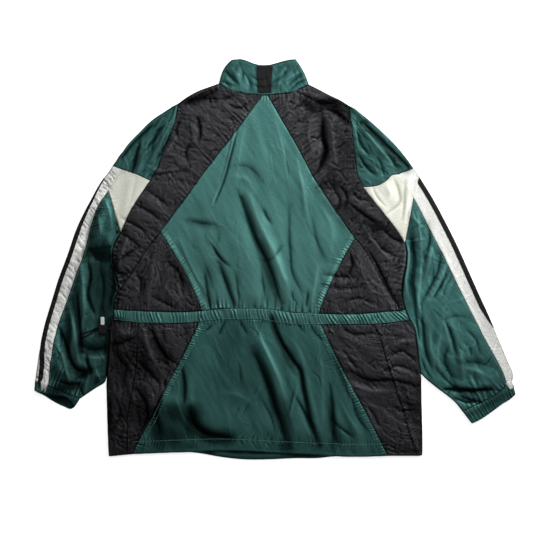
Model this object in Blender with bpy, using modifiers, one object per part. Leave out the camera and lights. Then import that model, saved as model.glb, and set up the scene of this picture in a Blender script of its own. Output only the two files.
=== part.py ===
"""A pullover windbreaker of thin nylon, laid out flat on its front with the back showing.

Sizes in this file are millimetres in plan: x across the garment, y up towards the collar and
z up from the table. The meshes are made in metres. The back lies on the front, so every back
panel is a thin wall over a plain flat front panel; collar, waist casing, cuffs, sleeve caps and
sleeve stripes go round the folded edges as one wall.
"""

import math

import bmesh
import bpy
from mathutils import Vector
from mathutils.bvhtree import BVHTree
from mathutils.geometry import delaunay_2d_cdt

MM = 0.001

# Driving sizes
WALL = 1.5  # cloth, with what it takes to stand for a limp layer
SEAM = 0.3  # between two pieces that are sewn together
WAIST_SEAM = 0.5  # between the gathered casing and the panels it holds
LAYER = 0.3  # between the back layer and the front layer
FOLD_RADIUS = 3.0  # round of a folded edge, outside
EDGE_HEIGHT = 2 * WALL + LAYER  # top of the back layer where it lies flat on the front
FOLD_HEIGHT = 2 * FOLD_RADIUS
PUFF = 4.5  # how far air lifts the back layer away from the edges
PUFF_REACH = 42.0
PANEL_STEP = 20.0  # mesh step of the curved panels
FLAT_STEP = 60.0  # mesh step of the flat front panels
TAB_STEP = 14.0  # mesh step of the collar's tab
ZIP_WIDTH = 14.0
ZIP_X = -22.0
ZIP_TOP = 417.0  # under the collar's folded top edge
ZIP_BOTTOM = 63.0
NECK_AT_ZIP = 353.2  # where the zip's slit meets the neck seam
GATHERS_WAIST = 78
GATHERS_CUFF = 13
SAMPLES_PER_GATHER = 3
GATHER_HEIGHT = 1.1
CUFF_GATHER_HEIGHT = 0.9
CASING_HEIGHT = 23.0
CASING_BULGE = 1.4  # the elastic and the cloth round it stand up between the two seams
CASING_LOW_POINTS = 60  # points along the casing's underside
LINE_POINTS = 160  # points along each line of the casing before its gathers are set out
CUFF_LOW_POINTS = 4
COLLAR_COLUMNS = 18
COLLAR_ROWS = 5
CAP_START = 0.3  # how far down the armhole's first stretch the cap's first row starts
CAP_HEM = 0.24  # between a sleeve cap and the armhole's line
CAP_TRIM = 0.25  # between a sleeve cap's last row and its lower seam's line
STRIPE_START = (0.12, 0.06)  # shares by which a stripe's first stretches are cut, outside, inside
STRIPE_HEM = 0.21  # between a stripe and the lower sleeve
END_TRIM = 0.3  # taken off a stripe's end at the cuff
STRIPE_STEP = 26.0  # between the stations of a stripe
TAPE_WIDTH = 8.0
TAPE_THICKNESS = 1.0
TAPE_LEAST = 0.3  # the tape leaves at least this share of the stripe's top uncovered
TAPE_START = 3  # the station where both tapes start
TAPE_SHORT_RIGHT = 5  # stations by which the right tape ends before the cuff
TAB_RISE = 0.5  # between the collar and its tab
CORD_DIAMETER = 2.8
CORD_LIFT = 0.15  # over the layer's gap, where the cord lies on cloth
CASING_END_X = -349.0  # the cord lies on the sleeve to the left of this
CORD_POINTS = 60
LOCK_CENTRE = (-371.0, -151.0)
LOCK_SIZE = (18.0, 19.0, 8.4)
LOCK_ROUND = 1.6
BUTTON_SIZE = (8.0, 17.0, 5.0)
BUTTON_ROUND = 1.2
CHANNEL_SIZE = (40.0, 8.4, 3.8)  # through the lock, for both runs of the cord
CHANNEL_Y = -149.4

# Seam and edge lines of the garment in plan, (x, y) in mm, from the collar down
LINE = {
    "neck_left": [(-120, 378), (-96, 365), (-71, 358), (-46, 355), (-27, 353)],
    "neck_mid": [(-27, 353), (-16, 353)],
    "neck_right": [(-16, 353), (3, 355), (36, 360), (58, 369), (72, 376)],
    "collar_top": [(-93, 429), (-74, 430.4), (-46, 421), (-22, 418), (3, 422), (21, 427), (44, 430.4)],
    "collar_left": [(-120, 378), (-112, 404), (-93, 429)],
    "collar_right": [(72, 376), (58, 409), (44, 430.4)],
    "shoulder_left": [(-120, 378), (-162, 363), (-209, 334)],
    "armhole_left": [(-209, 334), (-214, 304), (-222, 276), (-240, 237), (-252, 199), (-269, 169)],
    "underarm_left": [(-269, 169), (-294, 132), (-313, 101), (-325, 75), (-332, 58)],
    "side_left": [(-332, 58), (-348, 28), (-351, 7), (-343, -35), (-338, -64), (-346, -87)],
    "side_left_low": [(-346, -87), (-348, -108)],
    "shoulder_right": [(72, 376), (119, 354), (159, 330)],
    "armhole_right": [(159, 330), (162, 304), (168, 258), (174, 204), (179, 176), (190, 155)],
    "underarm_right": [(190, 155), (210, 129), (240, 92), (262, 64), (280, 36)],
    "side_right": [(280, 36), (284, 17), (282, -15), (276, -46), (274, -78), (281, -109)],
    "kite_left_upper": [(-27, 353), (-80, 274), (-143, 200), (-193, 131), (-247, 58)],
    "kite_left_lower": [(-247, 58), (-206, -8), (-178, -62), (-157, -111)],
    "kite_right_upper": [(-16, 353), (15, 302), (47, 248), (88, 172), (126, 112), (172, 45)],
    "kite_right_lower": [(172, 45), (142, -8), (110, -75), (94, -117)],
    "band_seam_left": [(-247, 58), (-275, 23), (-304, -22), (-325, -53), (-346, -87)],
    "band_seam_right": [(172, 45), (195, 17), (220, -28), (246, -71), (272, -111)],
    "waist_top_side_left": [(-348, -108), (-281, -112), (-185, -113), (-157, -111)],
    "waist_top_kite": [(-157, -111), (-119, -107), (-77, -106), (-34, -107), (-2, -109), (30, -114), (94, -117)],
    "waist_top_side_right": [(94, -117), (173, -118), (228, -114), (272, -111)],
    "waist_top_band_right": [(272, -111), (281, -109)],
    "waist_low_outer_left": [(-349, -131), (-295, -137)],
    "waist_low_side_left": [(-295, -137), (-240, -138), (-185, -137), (-163, -135)],
    "waist_low_centre": [(-163, -135), (-141, -132), (-77, -130), (-34, -130), (9, -137), (41, -141), (99, -141)],
    "waist_low_side_right": [(99, -141), (151, -141), (213, -140)],
    "waist_low_outer_right": [(213, -140), (242, -138), (290, -131)],
    "skirt_edge_left": [(-349, -131), (-354, -141), (-357, -181), (-363, -251)],
    "skirt_edge_left_low": [(-363, -251), (-361, -322), (-356, -422)],
    "skirt_edge_right": [(290, -131), (297, -141), (306, -187), (312, -236), (314, -245)],
    "skirt_edge_right_low": [(314, -245), (315, -310), (317, -422)],
    "outer_seam_left": [(-295, -137), (-300, -236), (-310, -298), (-317, -333), (-318, -418)],
    "outer_seam_right": [(213, -140), (226, -172), (243, -229), (260, -281), (275, -325), (288, -372), (307, -423)],
    "skirt_seam_left": [(-163, -135), (-202, -214), (-237, -280), (-265, -340), (-302, -408), (-306, -417)],
    "skirt_seam_right": [(99, -141), (144, -231), (194, -325), (243, -423)],
    "hem_outer_left": [(-356, -422), (-318, -418)],
    "hem_side_left": [(-318, -418), (-306, -417)],
    "hem_centre": [(-306, -417), (-190, -415), (-54, -414), (13, -419), (95, -422), (169, -426), (243, -423)],
    "hem_side_right": [(243, -423), (307, -423)],
    "hem_outer_right": [(307, -423), (317, -422)],
    "hem_front": [(-356, -422), (-300, -417), (-190, -415), (-120, -424), (-73, -430.4), (-11, -430.4),
                  (95, -429), (124, -425), (317, -422)],
    "cap_outer_left": [(-222, 327), (-236, 318), (-264, 300), (-294, 272), (-318, 244), (-349, 201)],
    "cap_outer_right": [(172, 323), (203, 300), (234, 272), (264, 240), (280, 220), (298, 195)],
    "cap_seam_left": [(-349, 201), (-330, 193.4), (-269, 169)],
    "cap_seam_right": [(298, 195), (265, 182.8), (190, 155)],
    "stripe_top_left": [(-330, 193.4), (-345, 171), (-359, 148)],
    "stripe_top_right": [(265, 182.8), (284, 158), (298, 132)],
    "gusset_edge_left": [(-359, 148), (-332, 58)],
    "gusset_edge_right": [(298, 132), (280, 36)],
    "knee_left": [(-359, 148), (-384, 110), (-398, 69), (-415, 7), (-432, -43), (-450, -92), (-469, -146),
                  (-480, -200), (-486, -241), (-489, -273)],
    "knee_right": [(298, 132), (315, 101), (336, 59), (359, 15), (381, -30), (405, -77), (429, -123),
                   (453, -169), (476, -210), (493, -243), (500, -271)],
    "outer_left": [(-349, 201), (-359, 187), (-369, 175), (-399, 124), (-423, 69), (-444, 5), (-462, -43),
                   (-480, -92), (-496, -146), (-507, -200), (-513, -241), (-516, -262)],
    "outer_right": [(298, 195), (303, 187), (308, 177), (337, 132), (366, 78), (391, 30), (415, -21),
                    (440, -77), (461, -123), (478, -171), (500, -219), (512, -252), (510, -265)],
    "forearm_left": [(-363, -251), (-363, -262), (-403, -287), (-422, -300)],
    "forearm_right": [(314, -245), (352, -276), (391, -306), (407, -327)],
}

# The largest folds: a run of points (x, y), with the height at its middle and the half width
FOLDS = [
    # height, width, run
    (-5.0, 15, [(-73, 131), (-48, 65), (-19, 0), (9, -56), (24, -94)]),
    (3.6, 14, [(-40, 120), (-14, 55), (14, -5), (42, -66)]),
    (-4.0, 14, [(34, 113), (35, -30), (66, -77)]),
    (3.0, 14, [(47, 207), (71, 80)]),
    (-3.0, 13, [(78, 65), (95, 0)]),
    (-4.0, 13, [(-80, 201), (-55, 195), (-30, 168)]),
    (-3.6, 13, [(-179, 80), (-142, 80)]),
    (-3.6, 17, [(-149, 0), (-106, -47)]),
    (3.2, 12, [(-76, 292), (-140, 110)]),
    (-4.0, 12, [(-166, 302), (-166, 261)]),
    (-4.6, 12, [(103, 291), (110, 238), (101, 210)]),
    (3.2, 13, [(84, 300), (86, 240)]),
    (-3.2, 12, [(66, 344), (140, 322)]),
    (3.0, 13, [(-290, 40), (-300, -20)]),
    (-5.0, 14, [(-4, -140), (19, -183), (32, -213), (54, -236), (69, -299), (93, -372)]),
    (3.6, 14, [(36, -160), (62, -210), (96, -300)]),
    (-4.0, 14, [(-39, -206), (-9, -260), (9, -336), (30, -385)]),
    (4.0, 13, [(116, -193), (119, -299), (123, -385)]),
    (-4.6, 15, [(-179, -320), (-130, -360), (-86, -392)]),
    (-4.0, 13, [(157, -221), (194, -256), (244, -267), (305, -277)]),
    (-4.0, 13, [(-261, -150), (-246, -200), (-213, -224)]),
    (3.6, 13, [(-285, -150), (-261, -228), (-237, -252)]),
    (4.4, 14, [(-422, -19), (-404, -90), (-399, -163)]),
    (-4.0, 15, [(-384, 41), (-352, -4)]),
    (-3.0, 24, [(-392, 3), (-372, -100)]),
    (-6.0, 13, [(-352, -128), (-372, -146), (-412, -162)]),
    (4.0, 13, [(351, 7), (336, -50), (323, -107)]),
    (-4.0, 13, [(304, 60), (308, -40), (312, -120)]),
    (-4.4, 13, [(374, -130), (396, -193)]),
    (-3.4, 17, [(373, -185), (388, -262)]),
    (-3.6, 12, [(-295, 246), (-308, 188), (-326, 100)]),
    (-3.6, 12, [(203, 294), (244, 248), (284, 199)]),
    (-3.0, 12, [(256, 154), (252, 106)]),
]

# The stretches of line where the garment ends in an edge, so the back layer comes down to the front
EDGES = (
    "collar_left", "collar_top", "collar_right", "shoulder_left", "shoulder_right",
    "side_left", "side_left_low", "side_right", "skirt_edge_left", "skirt_edge_left_low",
    "skirt_edge_right", "skirt_edge_right_low", "hem_outer_left", "hem_side_left", "hem_centre",
    "hem_side_right", "hem_outer_right", "cap_outer_left", "cap_outer_right", "outer_left",
    "outer_right", "forearm_left", "forearm_right",
)

CUFF = {
    # side: (seam outer end, seam inner end, mouth outer end, mouth inner end, front mouth bulge)
    "left": dict(seam=((-516, -262), (-422, -300)), back=((-517.9, -283), (-436, -311)),
                 front=((-517.9, -283), (-434, -320)), bulge=7.0),
    "right": dict(seam=((510, -265), (407, -327)), back=((517.9, -289), (424, -351)),
                  front=((517.9, -289), (424, -351)), bulge=0.0),
}

TAB = [(-36, 358.5), (-8, 358.5), (-5, 415), (-39, 415)]

# The drawcord in plan: x, y, and 1 where it is inside the lock
CORD_ROUTE = [
    (-349.2, -121.0, 0), (-353.6, -126.0, 0), (-356.0, -133.5, 0), (-357.0, -140.0, 1),
    (-359.4, -145.6, 1), (-364.0, -147.5, 1), (-371.0, -147.6, 1), (-379.0, -147.7, 1),
    (-384.0, -148.6, 1), (-391.0, -151.4, 0), (-400.0, -155.0, 0), (-409.0, -158.4, 0),
    (-415.0, -161.6, 0), (-414.6, -166.4, 0), (-408.4, -166.4, 0), (-400.0, -161.6, 0),
    (-391.0, -156.0, 0), (-384.0, -152.4, 1), (-379.0, -151.4, 1), (-371.0, -151.3, 1),
    (-363.6, -151.3, 1), (-357.4, -150.4, 1), (-352.8, -145.6, 0), (-351.2, -138.0, 0),
    (-350.8, -132.0, 0), (-349.2, -127.6, 0),
]

GREEN = (0.040, 0.150, 0.125, 1.0)
DARK_GREEN = (0.022, 0.095, 0.082, 1.0)
BLACK = (0.012, 0.012, 0.013, 1.0)
WHITE = (0.78, 0.79, 0.72, 1.0)
PALE = (0.62, 0.63, 0.60, 1.0)


def clear_scene():
    for old in list(bpy.data.objects):
        bpy.data.objects.remove(old, do_unlink=True)


def material(name, colour, roughness):
    made = bpy.data.materials.get(name)
    if made:
        return made
    made = bpy.data.materials.new(name)
    made.use_nodes = True
    shader = made.node_tree.nodes["Principled BSDF"]
    shader.inputs["Base Color"].default_value = colour
    shader.inputs["Roughness"].default_value = roughness
    shader.inputs["Metallic"].default_value = 0.0
    return made


def lines(*names):
    """Joins named lines end to end into one run; a name that starts with - runs backwards."""
    run = []
    for name in names:
        points = LINE[name.lstrip("-")]
        points = points[::-1] if name.startswith("-") else points
        run += [Vector(p) for p in points if not run or (Vector(p) - run[-1]).length > 0.01]
    if (run[0] - run[-1]).length < 0.01:
        run.pop()
    return run


def distance_to_run(point, run):
    """Distance from a point to a run of points, and how far along the run the nearest place is."""
    best, along, passed = 1e9, 0.0, 0.0
    for a, b in zip(run, run[1:]):
        step = b - a
        t = max(0.0, min(1.0, (point - a).dot(step) / step.length_squared))
        gap = (a + step * t - point).length
        if gap < best:
            best, along = gap, passed + step.length * t
        passed += step.length
    return best, along / passed


EDGE_RUNS = [[Vector(p) for p in LINE[name]] for name in EDGES]
FOLD_RUNS = [(height, width, [Vector(p) for p in run]) for height, width, run in FOLDS]


def top_height(x, y):
    """Top of the back layer: low at every edge, lifted by air inside, with the large folds."""
    point = Vector((x, y))
    inside = min(distance_to_run(point, run)[0] for run in EDGE_RUNS)
    if inside < FOLD_RADIUS:
        rise = math.sqrt(max(0.0, 1.0 - (1.0 - inside / FOLD_RADIUS) ** 2))
        base = EDGE_HEIGHT + (FOLD_HEIGHT - EDGE_HEIGHT) * rise
    else:
        base = FOLD_HEIGHT
    lifted = 1.0 - math.exp(-((max(0.0, inside - FOLD_RADIUS) / PUFF_REACH) ** 1.3))
    height = base + PUFF * lifted
    for fold, width, run in FOLD_RUNS:
        away, along = distance_to_run(point, run)
        if away < 3 * width:
            taper = math.sin(math.pi * min(1.0, max(0.0, 0.12 + 0.76 * along)))
            height += fold * taper * math.exp(-((away / width) ** 2)) * min(1.0, inside / width)
    return max(EDGE_HEIGHT, height)


def finish_object(name, mesh, colour_name, colour, roughness=0.45):
    mesh.materials.append(material(colour_name, colour, roughness))
    made = bpy.data.objects.new(name, mesh)
    COLLECTION.objects.link(made)
    return made


def inset(polygon, gap):
    """Moves each corner of a polygon inwards so that every side moves in by the same gap."""
    area = sum(a.x * b.y - b.x * a.y for a, b in zip(polygon, polygon[1:] + polygon[:1]))
    turn = 1.0 if area > 0 else -1.0
    moved = []
    for i, corner in enumerate(polygon):
        before = (corner - polygon[i - 1]).normalized()
        after = (polygon[(i + 1) % len(polygon)] - corner).normalized()
        normal_a = Vector((-before.y, before.x)) * turn
        normal_b = Vector((-after.y, after.x)) * turn
        moved.append(corner + (normal_a + normal_b) * gap / max(0.2, 1.0 + normal_a.dot(normal_b)))
    return moved


def subdivided(polygon, step):
    points = []
    for a, b in zip(polygon, polygon[1:] + polygon[:1]):
        count = max(1, math.ceil((b - a).length / step - 0.25))
        points += [a.lerp(b, k / count) for k in range(count)]
    return points


def is_inside(point, polygon):
    inside = False
    for a, b in zip(polygon, polygon[1:] + polygon[:1]):
        if (a.y > point.y) != (b.y > point.y):
            if point.x < a.x + (point.y - a.y) * (b.x - a.x) / (b.y - a.y):
                inside = not inside
    return inside


def interior_points(polygon, step):
    """A staggered grid of points inside a polygon, clear of its boundary."""
    xs = [p.x for p in polygon]
    ys = [p.y for p in polygon]
    points = []
    closed = polygon + polygon[:1]
    row_height = step * math.sqrt(3) / 2
    for row in range(int((max(ys) - min(ys)) / row_height) + 1):
        y = min(ys) + (row + 0.5) * row_height
        for column in range(int((max(xs) - min(xs)) / step) + 2):
            x = min(xs) + (column + 0.5 * (row % 2)) * step
            point = Vector((x, y))
            if is_inside(point, polygon) and distance_to_run(point, closed)[0] > 0.45 * step:
                points.append(point)
    return points


def panel(name, polygon, height, colour_name, colour, gap=SEAM / 2, step=PANEL_STEP, wall=WALL):
    """A cut piece of cloth: its outline filled with triangles, set to a height and given its wall."""
    outline = subdivided(inset(polygon, gap), step)
    points = outline + (interior_points(outline, step) if step < FLAT_STEP else [])
    ring = list(range(len(outline)))
    placed, _, faces, _, _, _ = delaunay_2d_cdt(points, [], [ring], 1, 1e-6)
    work = bmesh.new()
    corners = [work.verts.new((p.x * MM, p.y * MM, height(p.x, p.y) * MM)) for p in placed]
    for face in faces:
        work.faces.new([corners[i] for i in face])
    bmesh.ops.recalc_face_normals(work, faces=work.faces)
    if sum(face.normal.z for face in work.faces) < 0:
        bmesh.ops.reverse_faces(work, faces=work.faces)
    grown = bmesh.ops.extrude_face_region(work, geom=list(work.faces))
    low_corners = [item for item in grown["geom"] if isinstance(item, bmesh.types.BMVert)]
    bmesh.ops.translate(work, verts=low_corners, vec=(0, 0, -wall * MM))
    bmesh.ops.recalc_face_normals(work, faces=work.faces)
    mesh = bpy.data.meshes.new(name)
    work.to_mesh(mesh)
    work.free()
    return finish_object(name, mesh, colour_name, colour)


def flat_panel(name, polygon, colour_name, colour):
    return panel(name, polygon, lambda x, y: WALL, colour_name, colour, step=FLAT_STEP)


def loft(name, outer, inner, closed, colour_name, colour):
    """Skins a wall between stations; each station is a row of points, outside and inside."""
    rows, count = len(outer), len(outer[0])
    corners = [p * MM for skin in (outer, inner) for row in skin for p in row]

    def at(skin, row, column):
        return (skin * rows + row) * count + column % count

    spans = count if closed else count - 1
    faces = []
    for column in range(spans):
        for row in range(rows - 1):
            for skin in (0, 1):
                faces.append((at(skin, row, column), at(skin, row, column + 1),
                              at(skin, row + 1, column + 1), at(skin, row + 1, column)))
        for row in (0, rows - 1):
            faces.append((at(0, row, column), at(0, row, column + 1),
                          at(1, row, column + 1), at(1, row, column)))
    if not closed:
        for row in range(rows - 1):
            for column in (0, count - 1):
                faces.append((at(0, row, column), at(0, row + 1, column),
                              at(1, row + 1, column), at(1, row, column)))
    mesh = bpy.data.meshes.new(name)
    mesh.from_pydata(corners, [], faces)
    work = bmesh.new()
    work.from_mesh(mesh)
    bmesh.ops.triangulate(work, faces=work.faces)
    bmesh.ops.recalc_face_normals(work, faces=work.faces)
    work.to_mesh(mesh)
    work.free()
    return finish_object(name, mesh, colour_name, colour)


def at_distance(run, distance):
    """The point of a run at a distance from its start."""
    for a, b in zip(run, run[1:]):
        step = (b - a).length
        if distance <= step:
            return a.lerp(b, distance / step)
        distance -= step
    return run[-1].copy()


def reach_of_x(run, x):
    """The distance along a run, which goes from left to right, to where it passes x."""
    reach = 0.0
    for a, b in zip(run, run[1:]):
        if b.x >= x:
            return reach + (b - a).length * (x - a.x) / (b.x - a.x)
        reach += (b - a).length
    return reach


def resampled(run, count):
    total = sum((b - a).length for a, b in zip(run, run[1:]))
    return [at_distance(run, total * k / (count - 1)) for k in range(count)]


def fold_arc(edge, inwards, depth, angles):
    """The round of a folded edge, seen along the edge: from the top of the fold to the underside."""
    centre = edge + inwards * FOLD_RADIUS
    radius = FOLD_RADIUS - depth
    return [
        Vector((*(centre - inwards * radius * math.cos(math.radians(a))),
                FOLD_RADIUS + radius * math.sin(math.radians(a))))
        for a in angles
    ]


FOLD_ANGLES = (50, 0, -50)


def folded_station(open_end, folded_end, samples, depth, low_end=None):
    """One row of a piece that goes round one folded edge: over the back, the fold, the front."""
    across = folded_end - open_end
    inwards = -across.normalized()
    reach = across.length - FOLD_RADIUS
    top = [open_end - inwards * (reach * s) for s in samples]
    row = [Vector((p.x, p.y, top_height(p.x, p.y) - depth)) for p in top]
    row += fold_arc(folded_end, inwards, depth, FOLD_ANGLES)
    row += [Vector((p.x, p.y, depth)) for p in (top[-1], low_end or top[0])]
    return row


def ring_station(line, samples, depth, lift, low_count, low_line=None):
    """One row of a flattened tube: over the back, a fold, under the front and the other fold."""
    low_line = low_line or line
    left, right = line[0], line[-1]
    start = (line[1] - left).normalized()
    end = (line[-2] - right).normalized()
    total = sum((b - a).length for a, b in zip(line, line[1:]))
    low_total = sum((b - a).length for a, b in zip(low_line, low_line[1:]))
    reach = [FOLD_RADIUS + (total - 2 * FOLD_RADIUS) * s for s in samples]
    top = [at_distance(line, r) for r in reach]
    row = [
        Vector((p.x, p.y, top_height(p.x, p.y) + lift(s) - depth)) for p, s in zip(top, samples)
    ]
    row += fold_arc(right, end, depth, FOLD_ANGLES)
    low_step = (low_total - 2 * FOLD_RADIUS) / low_count
    low_reach = [FOLD_RADIUS + low_step * k for k in range(low_count, -1, -1)]
    row += [Vector((*at_distance(low_line, r), depth)) for r in low_reach]
    row += fold_arc(left, start, depth, FOLD_ANGLES[::-1])
    return row


def back_panels():
    """The kite-shaped back, the black bands beside it and the side panels under the bands."""
    green = ("nylon_green", GREEN)
    black = ("nylon_black", BLACK)
    cuts = {
        "back_kite": (green, ("neck_mid", "kite_right_upper", "kite_right_lower", "-waist_top_kite",
                              "-kite_left_lower", "-kite_left_upper")),
        "back_band_left": (black, ("neck_left", "kite_left_upper", "band_seam_left", "-side_left",
                                   "-underarm_left", "-armhole_left", "-shoulder_left")),
        "back_band_right": (black, ("neck_right", "shoulder_right", "armhole_right", "underarm_right",
                                    "side_right", "-waist_top_band_right", "-band_seam_right",
                                    "-kite_right_upper")),
        "back_side_left": (black, ("band_seam_left", "side_left_low", "waist_top_side_left",
                                   "-kite_left_lower")),
        "back_side_right": (black, ("band_seam_right", "-waist_top_side_right", "-kite_right_lower")),
        "skirt_centre": (green, ("waist_low_centre", "skirt_seam_right", "-hem_centre",
                                 "-skirt_seam_left")),
        "skirt_side_left": (black, ("waist_low_side_left", "skirt_seam_left", "-hem_side_left",
                                    "-outer_seam_left")),
        "skirt_side_right": (black, ("waist_low_side_right", "outer_seam_right", "-hem_side_right",
                                     "-skirt_seam_right")),
        "skirt_outer_left": (black, ("waist_low_outer_left", "outer_seam_left", "-hem_outer_left",
                                     "-skirt_edge_left_low", "-skirt_edge_left")),
        "skirt_outer_right": (black, ("waist_low_outer_right", "skirt_edge_right",
                                      "skirt_edge_right_low", "-hem_outer_right",
                                      "-outer_seam_right")),
    }
    for name, (colour, names) in cuts.items():
        panel(name, lines(*names), top_height, *colour)


def front_panels():
    """The plain front on the table: the upper front with its zip, and the skirt's front."""
    neck = lines("neck_left", "neck_mid", "neck_right")
    left, right = ZIP_X - ZIP_WIDTH / 2, ZIP_X + ZIP_WIDTH / 2
    slit = [Vector((left, NECK_AT_ZIP)), Vector((left, ZIP_BOTTOM)),
            Vector((right, ZIP_BOTTOM)), Vector((right, NECK_AT_ZIP))]
    neck = [p for p in neck if p.x < left] + slit + [p for p in neck if p.x > right]
    rest = lines("shoulder_right", "armhole_right", "underarm_right", "side_right",
                 "-waist_top_band_right", "-waist_top_side_right", "-waist_top_kite",
                 "-waist_top_side_left", "-side_left_low", "-side_left", "-underarm_left",
                 "-armhole_left", "-shoulder_left")
    flat_panel("front_upper", neck + rest[1:-1], "nylon_black", BLACK)
    skirt = lines("waist_low_outer_left", "waist_low_side_left", "waist_low_centre",
                  "waist_low_side_right", "waist_low_outer_right", "skirt_edge_right",
                  "skirt_edge_right_low", "-hem_front", "-skirt_edge_left_low", "-skirt_edge_left")
    flat_panel("front_skirt", skirt, "nylon_green", GREEN)
    zip_strip = [Vector((left, ZIP_BOTTOM)), Vector((right, ZIP_BOTTOM)),
                 Vector((right, ZIP_TOP)), Vector((left, ZIP_TOP))]
    flat_panel("front_zip", zip_strip, "zip_black", BLACK)


def waist_casing():
    """The elastic tunnel round the waist, drawn into gathers across the back."""
    top = lines("waist_top_side_left", "waist_top_kite", "waist_top_side_right",
                "waist_top_band_right")
    low = lines("waist_low_outer_left", "waist_low_side_left", "waist_low_centre",
                "waist_low_side_right", "waist_low_outer_right")
    count = GATHERS_WAIST * SAMPLES_PER_GATHER
    samples = [k / count for k in range(count + 1)]

    def gathers(s):
        """Tight and deep over the middle of the back, shallow and wide at both ends."""
        strength = 0.45 + 0.55 * math.exp(-(((s - 0.42) / 0.25) ** 2))
        wander = 0.9 * math.sin(9.1 * s) + 0.6 * math.sin(23.0 * s)
        return GATHER_HEIGHT * strength * math.sin(2 * math.pi * GATHERS_WAIST * s + wander)

    stations = []
    top, low = resampled(top, LINE_POINTS), resampled(low, LINE_POINTS)
    hem = WAIST_SEAM / 2 / CASING_HEIGHT
    for share, bulge in ((hem, 0.0), (0.5, CASING_BULGE), (1 - hem, 0.0)):
        line = [a.lerp(b, share) for a, b in zip(top, low)]
        stations.append((line, lambda s, bulge=bulge: gathers(s) + bulge))
    outer = [ring_station(line, samples, 0.0, lift, CASING_LOW_POINTS) for line, lift in stations]
    inner = [ring_station(line, samples, WALL, lift, CASING_LOW_POINTS) for line, lift in stations]
    loft("waist_casing", outer, inner, True, "nylon_green", GREEN)


def collar():
    """The stand collar, folded flat, open at the front where the zip closes it."""
    count = 30
    base = resampled(lines("neck_left", "neck_mid", "neck_right"), count)
    brim = resampled(lines("collar_top"), count)
    edge_left = resampled([Vector(p) for p in LINE["collar_left"]], COLLAR_ROWS)
    edge_right = resampled([Vector(p) for p in LINE["collar_right"]], COLLAR_ROWS)
    slit = ZIP_WIDTH / 2 + SEAM

    def station(row, depth):
        share = row / (COLLAR_ROWS - 1)
        line = [a.lerp(b, share) for a, b in zip(base, brim)]
        shift_left, shift_right = edge_left[row] - line[0], edge_right[row] - line[-1]
        last = count - 1
        line = [p + shift_left * (1 - k / last) ** 3 + shift_right * (k / last) ** 3
                for k, p in enumerate(line)]
        if row == 0:
            line = [p + Vector((0, SEAM / 2)) for p in line]
        total = sum((b - a).length for a, b in zip(line, line[1:]))
        start = (line[1] - line[0]).normalized()
        end = (line[-2] - line[-1]).normalized()
        reach = [FOLD_RADIUS + (total - 2 * FOLD_RADIUS) * k / COLLAR_COLUMNS
                 for k in range(COLLAR_COLUMNS + 1)]
        top = [at_distance(line, r) for r in reach]
        zip_left = reach_of_x(line, ZIP_X - slit)
        zip_right = reach_of_x(line, ZIP_X + slit)
        shares = (0.0, 0.3, 0.65, 1.0)
        front_left = [at_distance(line, zip_left + (reach[0] - zip_left) * s) for s in shares]
        front_right = [at_distance(line, reach[-1] + (zip_right - reach[-1]) * s) for s in shares]
        front_left = [Vector((*p, depth)) for p in front_left]
        front_right = [Vector((*p, depth)) for p in front_right]
        row_points = front_left + fold_arc(line[0], start, depth, FOLD_ANGLES[::-1])
        row_points += [Vector((p.x, p.y, top_height(p.x, p.y) - depth)) for p in top]
        row_points += fold_arc(line[-1], end, depth, FOLD_ANGLES) + front_right
        return row_points

    outer = [station(row, 0.0) for row in range(COLLAR_ROWS)]
    inner = [station(row, WALL) for row in range(COLLAR_ROWS)]
    loft("collar", outer, inner, False, "nylon_green_dark", DARK_GREEN)
    rise = TAB_RISE + TAPE_THICKNESS
    panel("collar_tab", [Vector(p) for p in TAB], lambda x, y: top_height(x, y) + rise,
          "tape_black", BLACK, step=TAB_STEP, wall=TAPE_THICKNESS)


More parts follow.
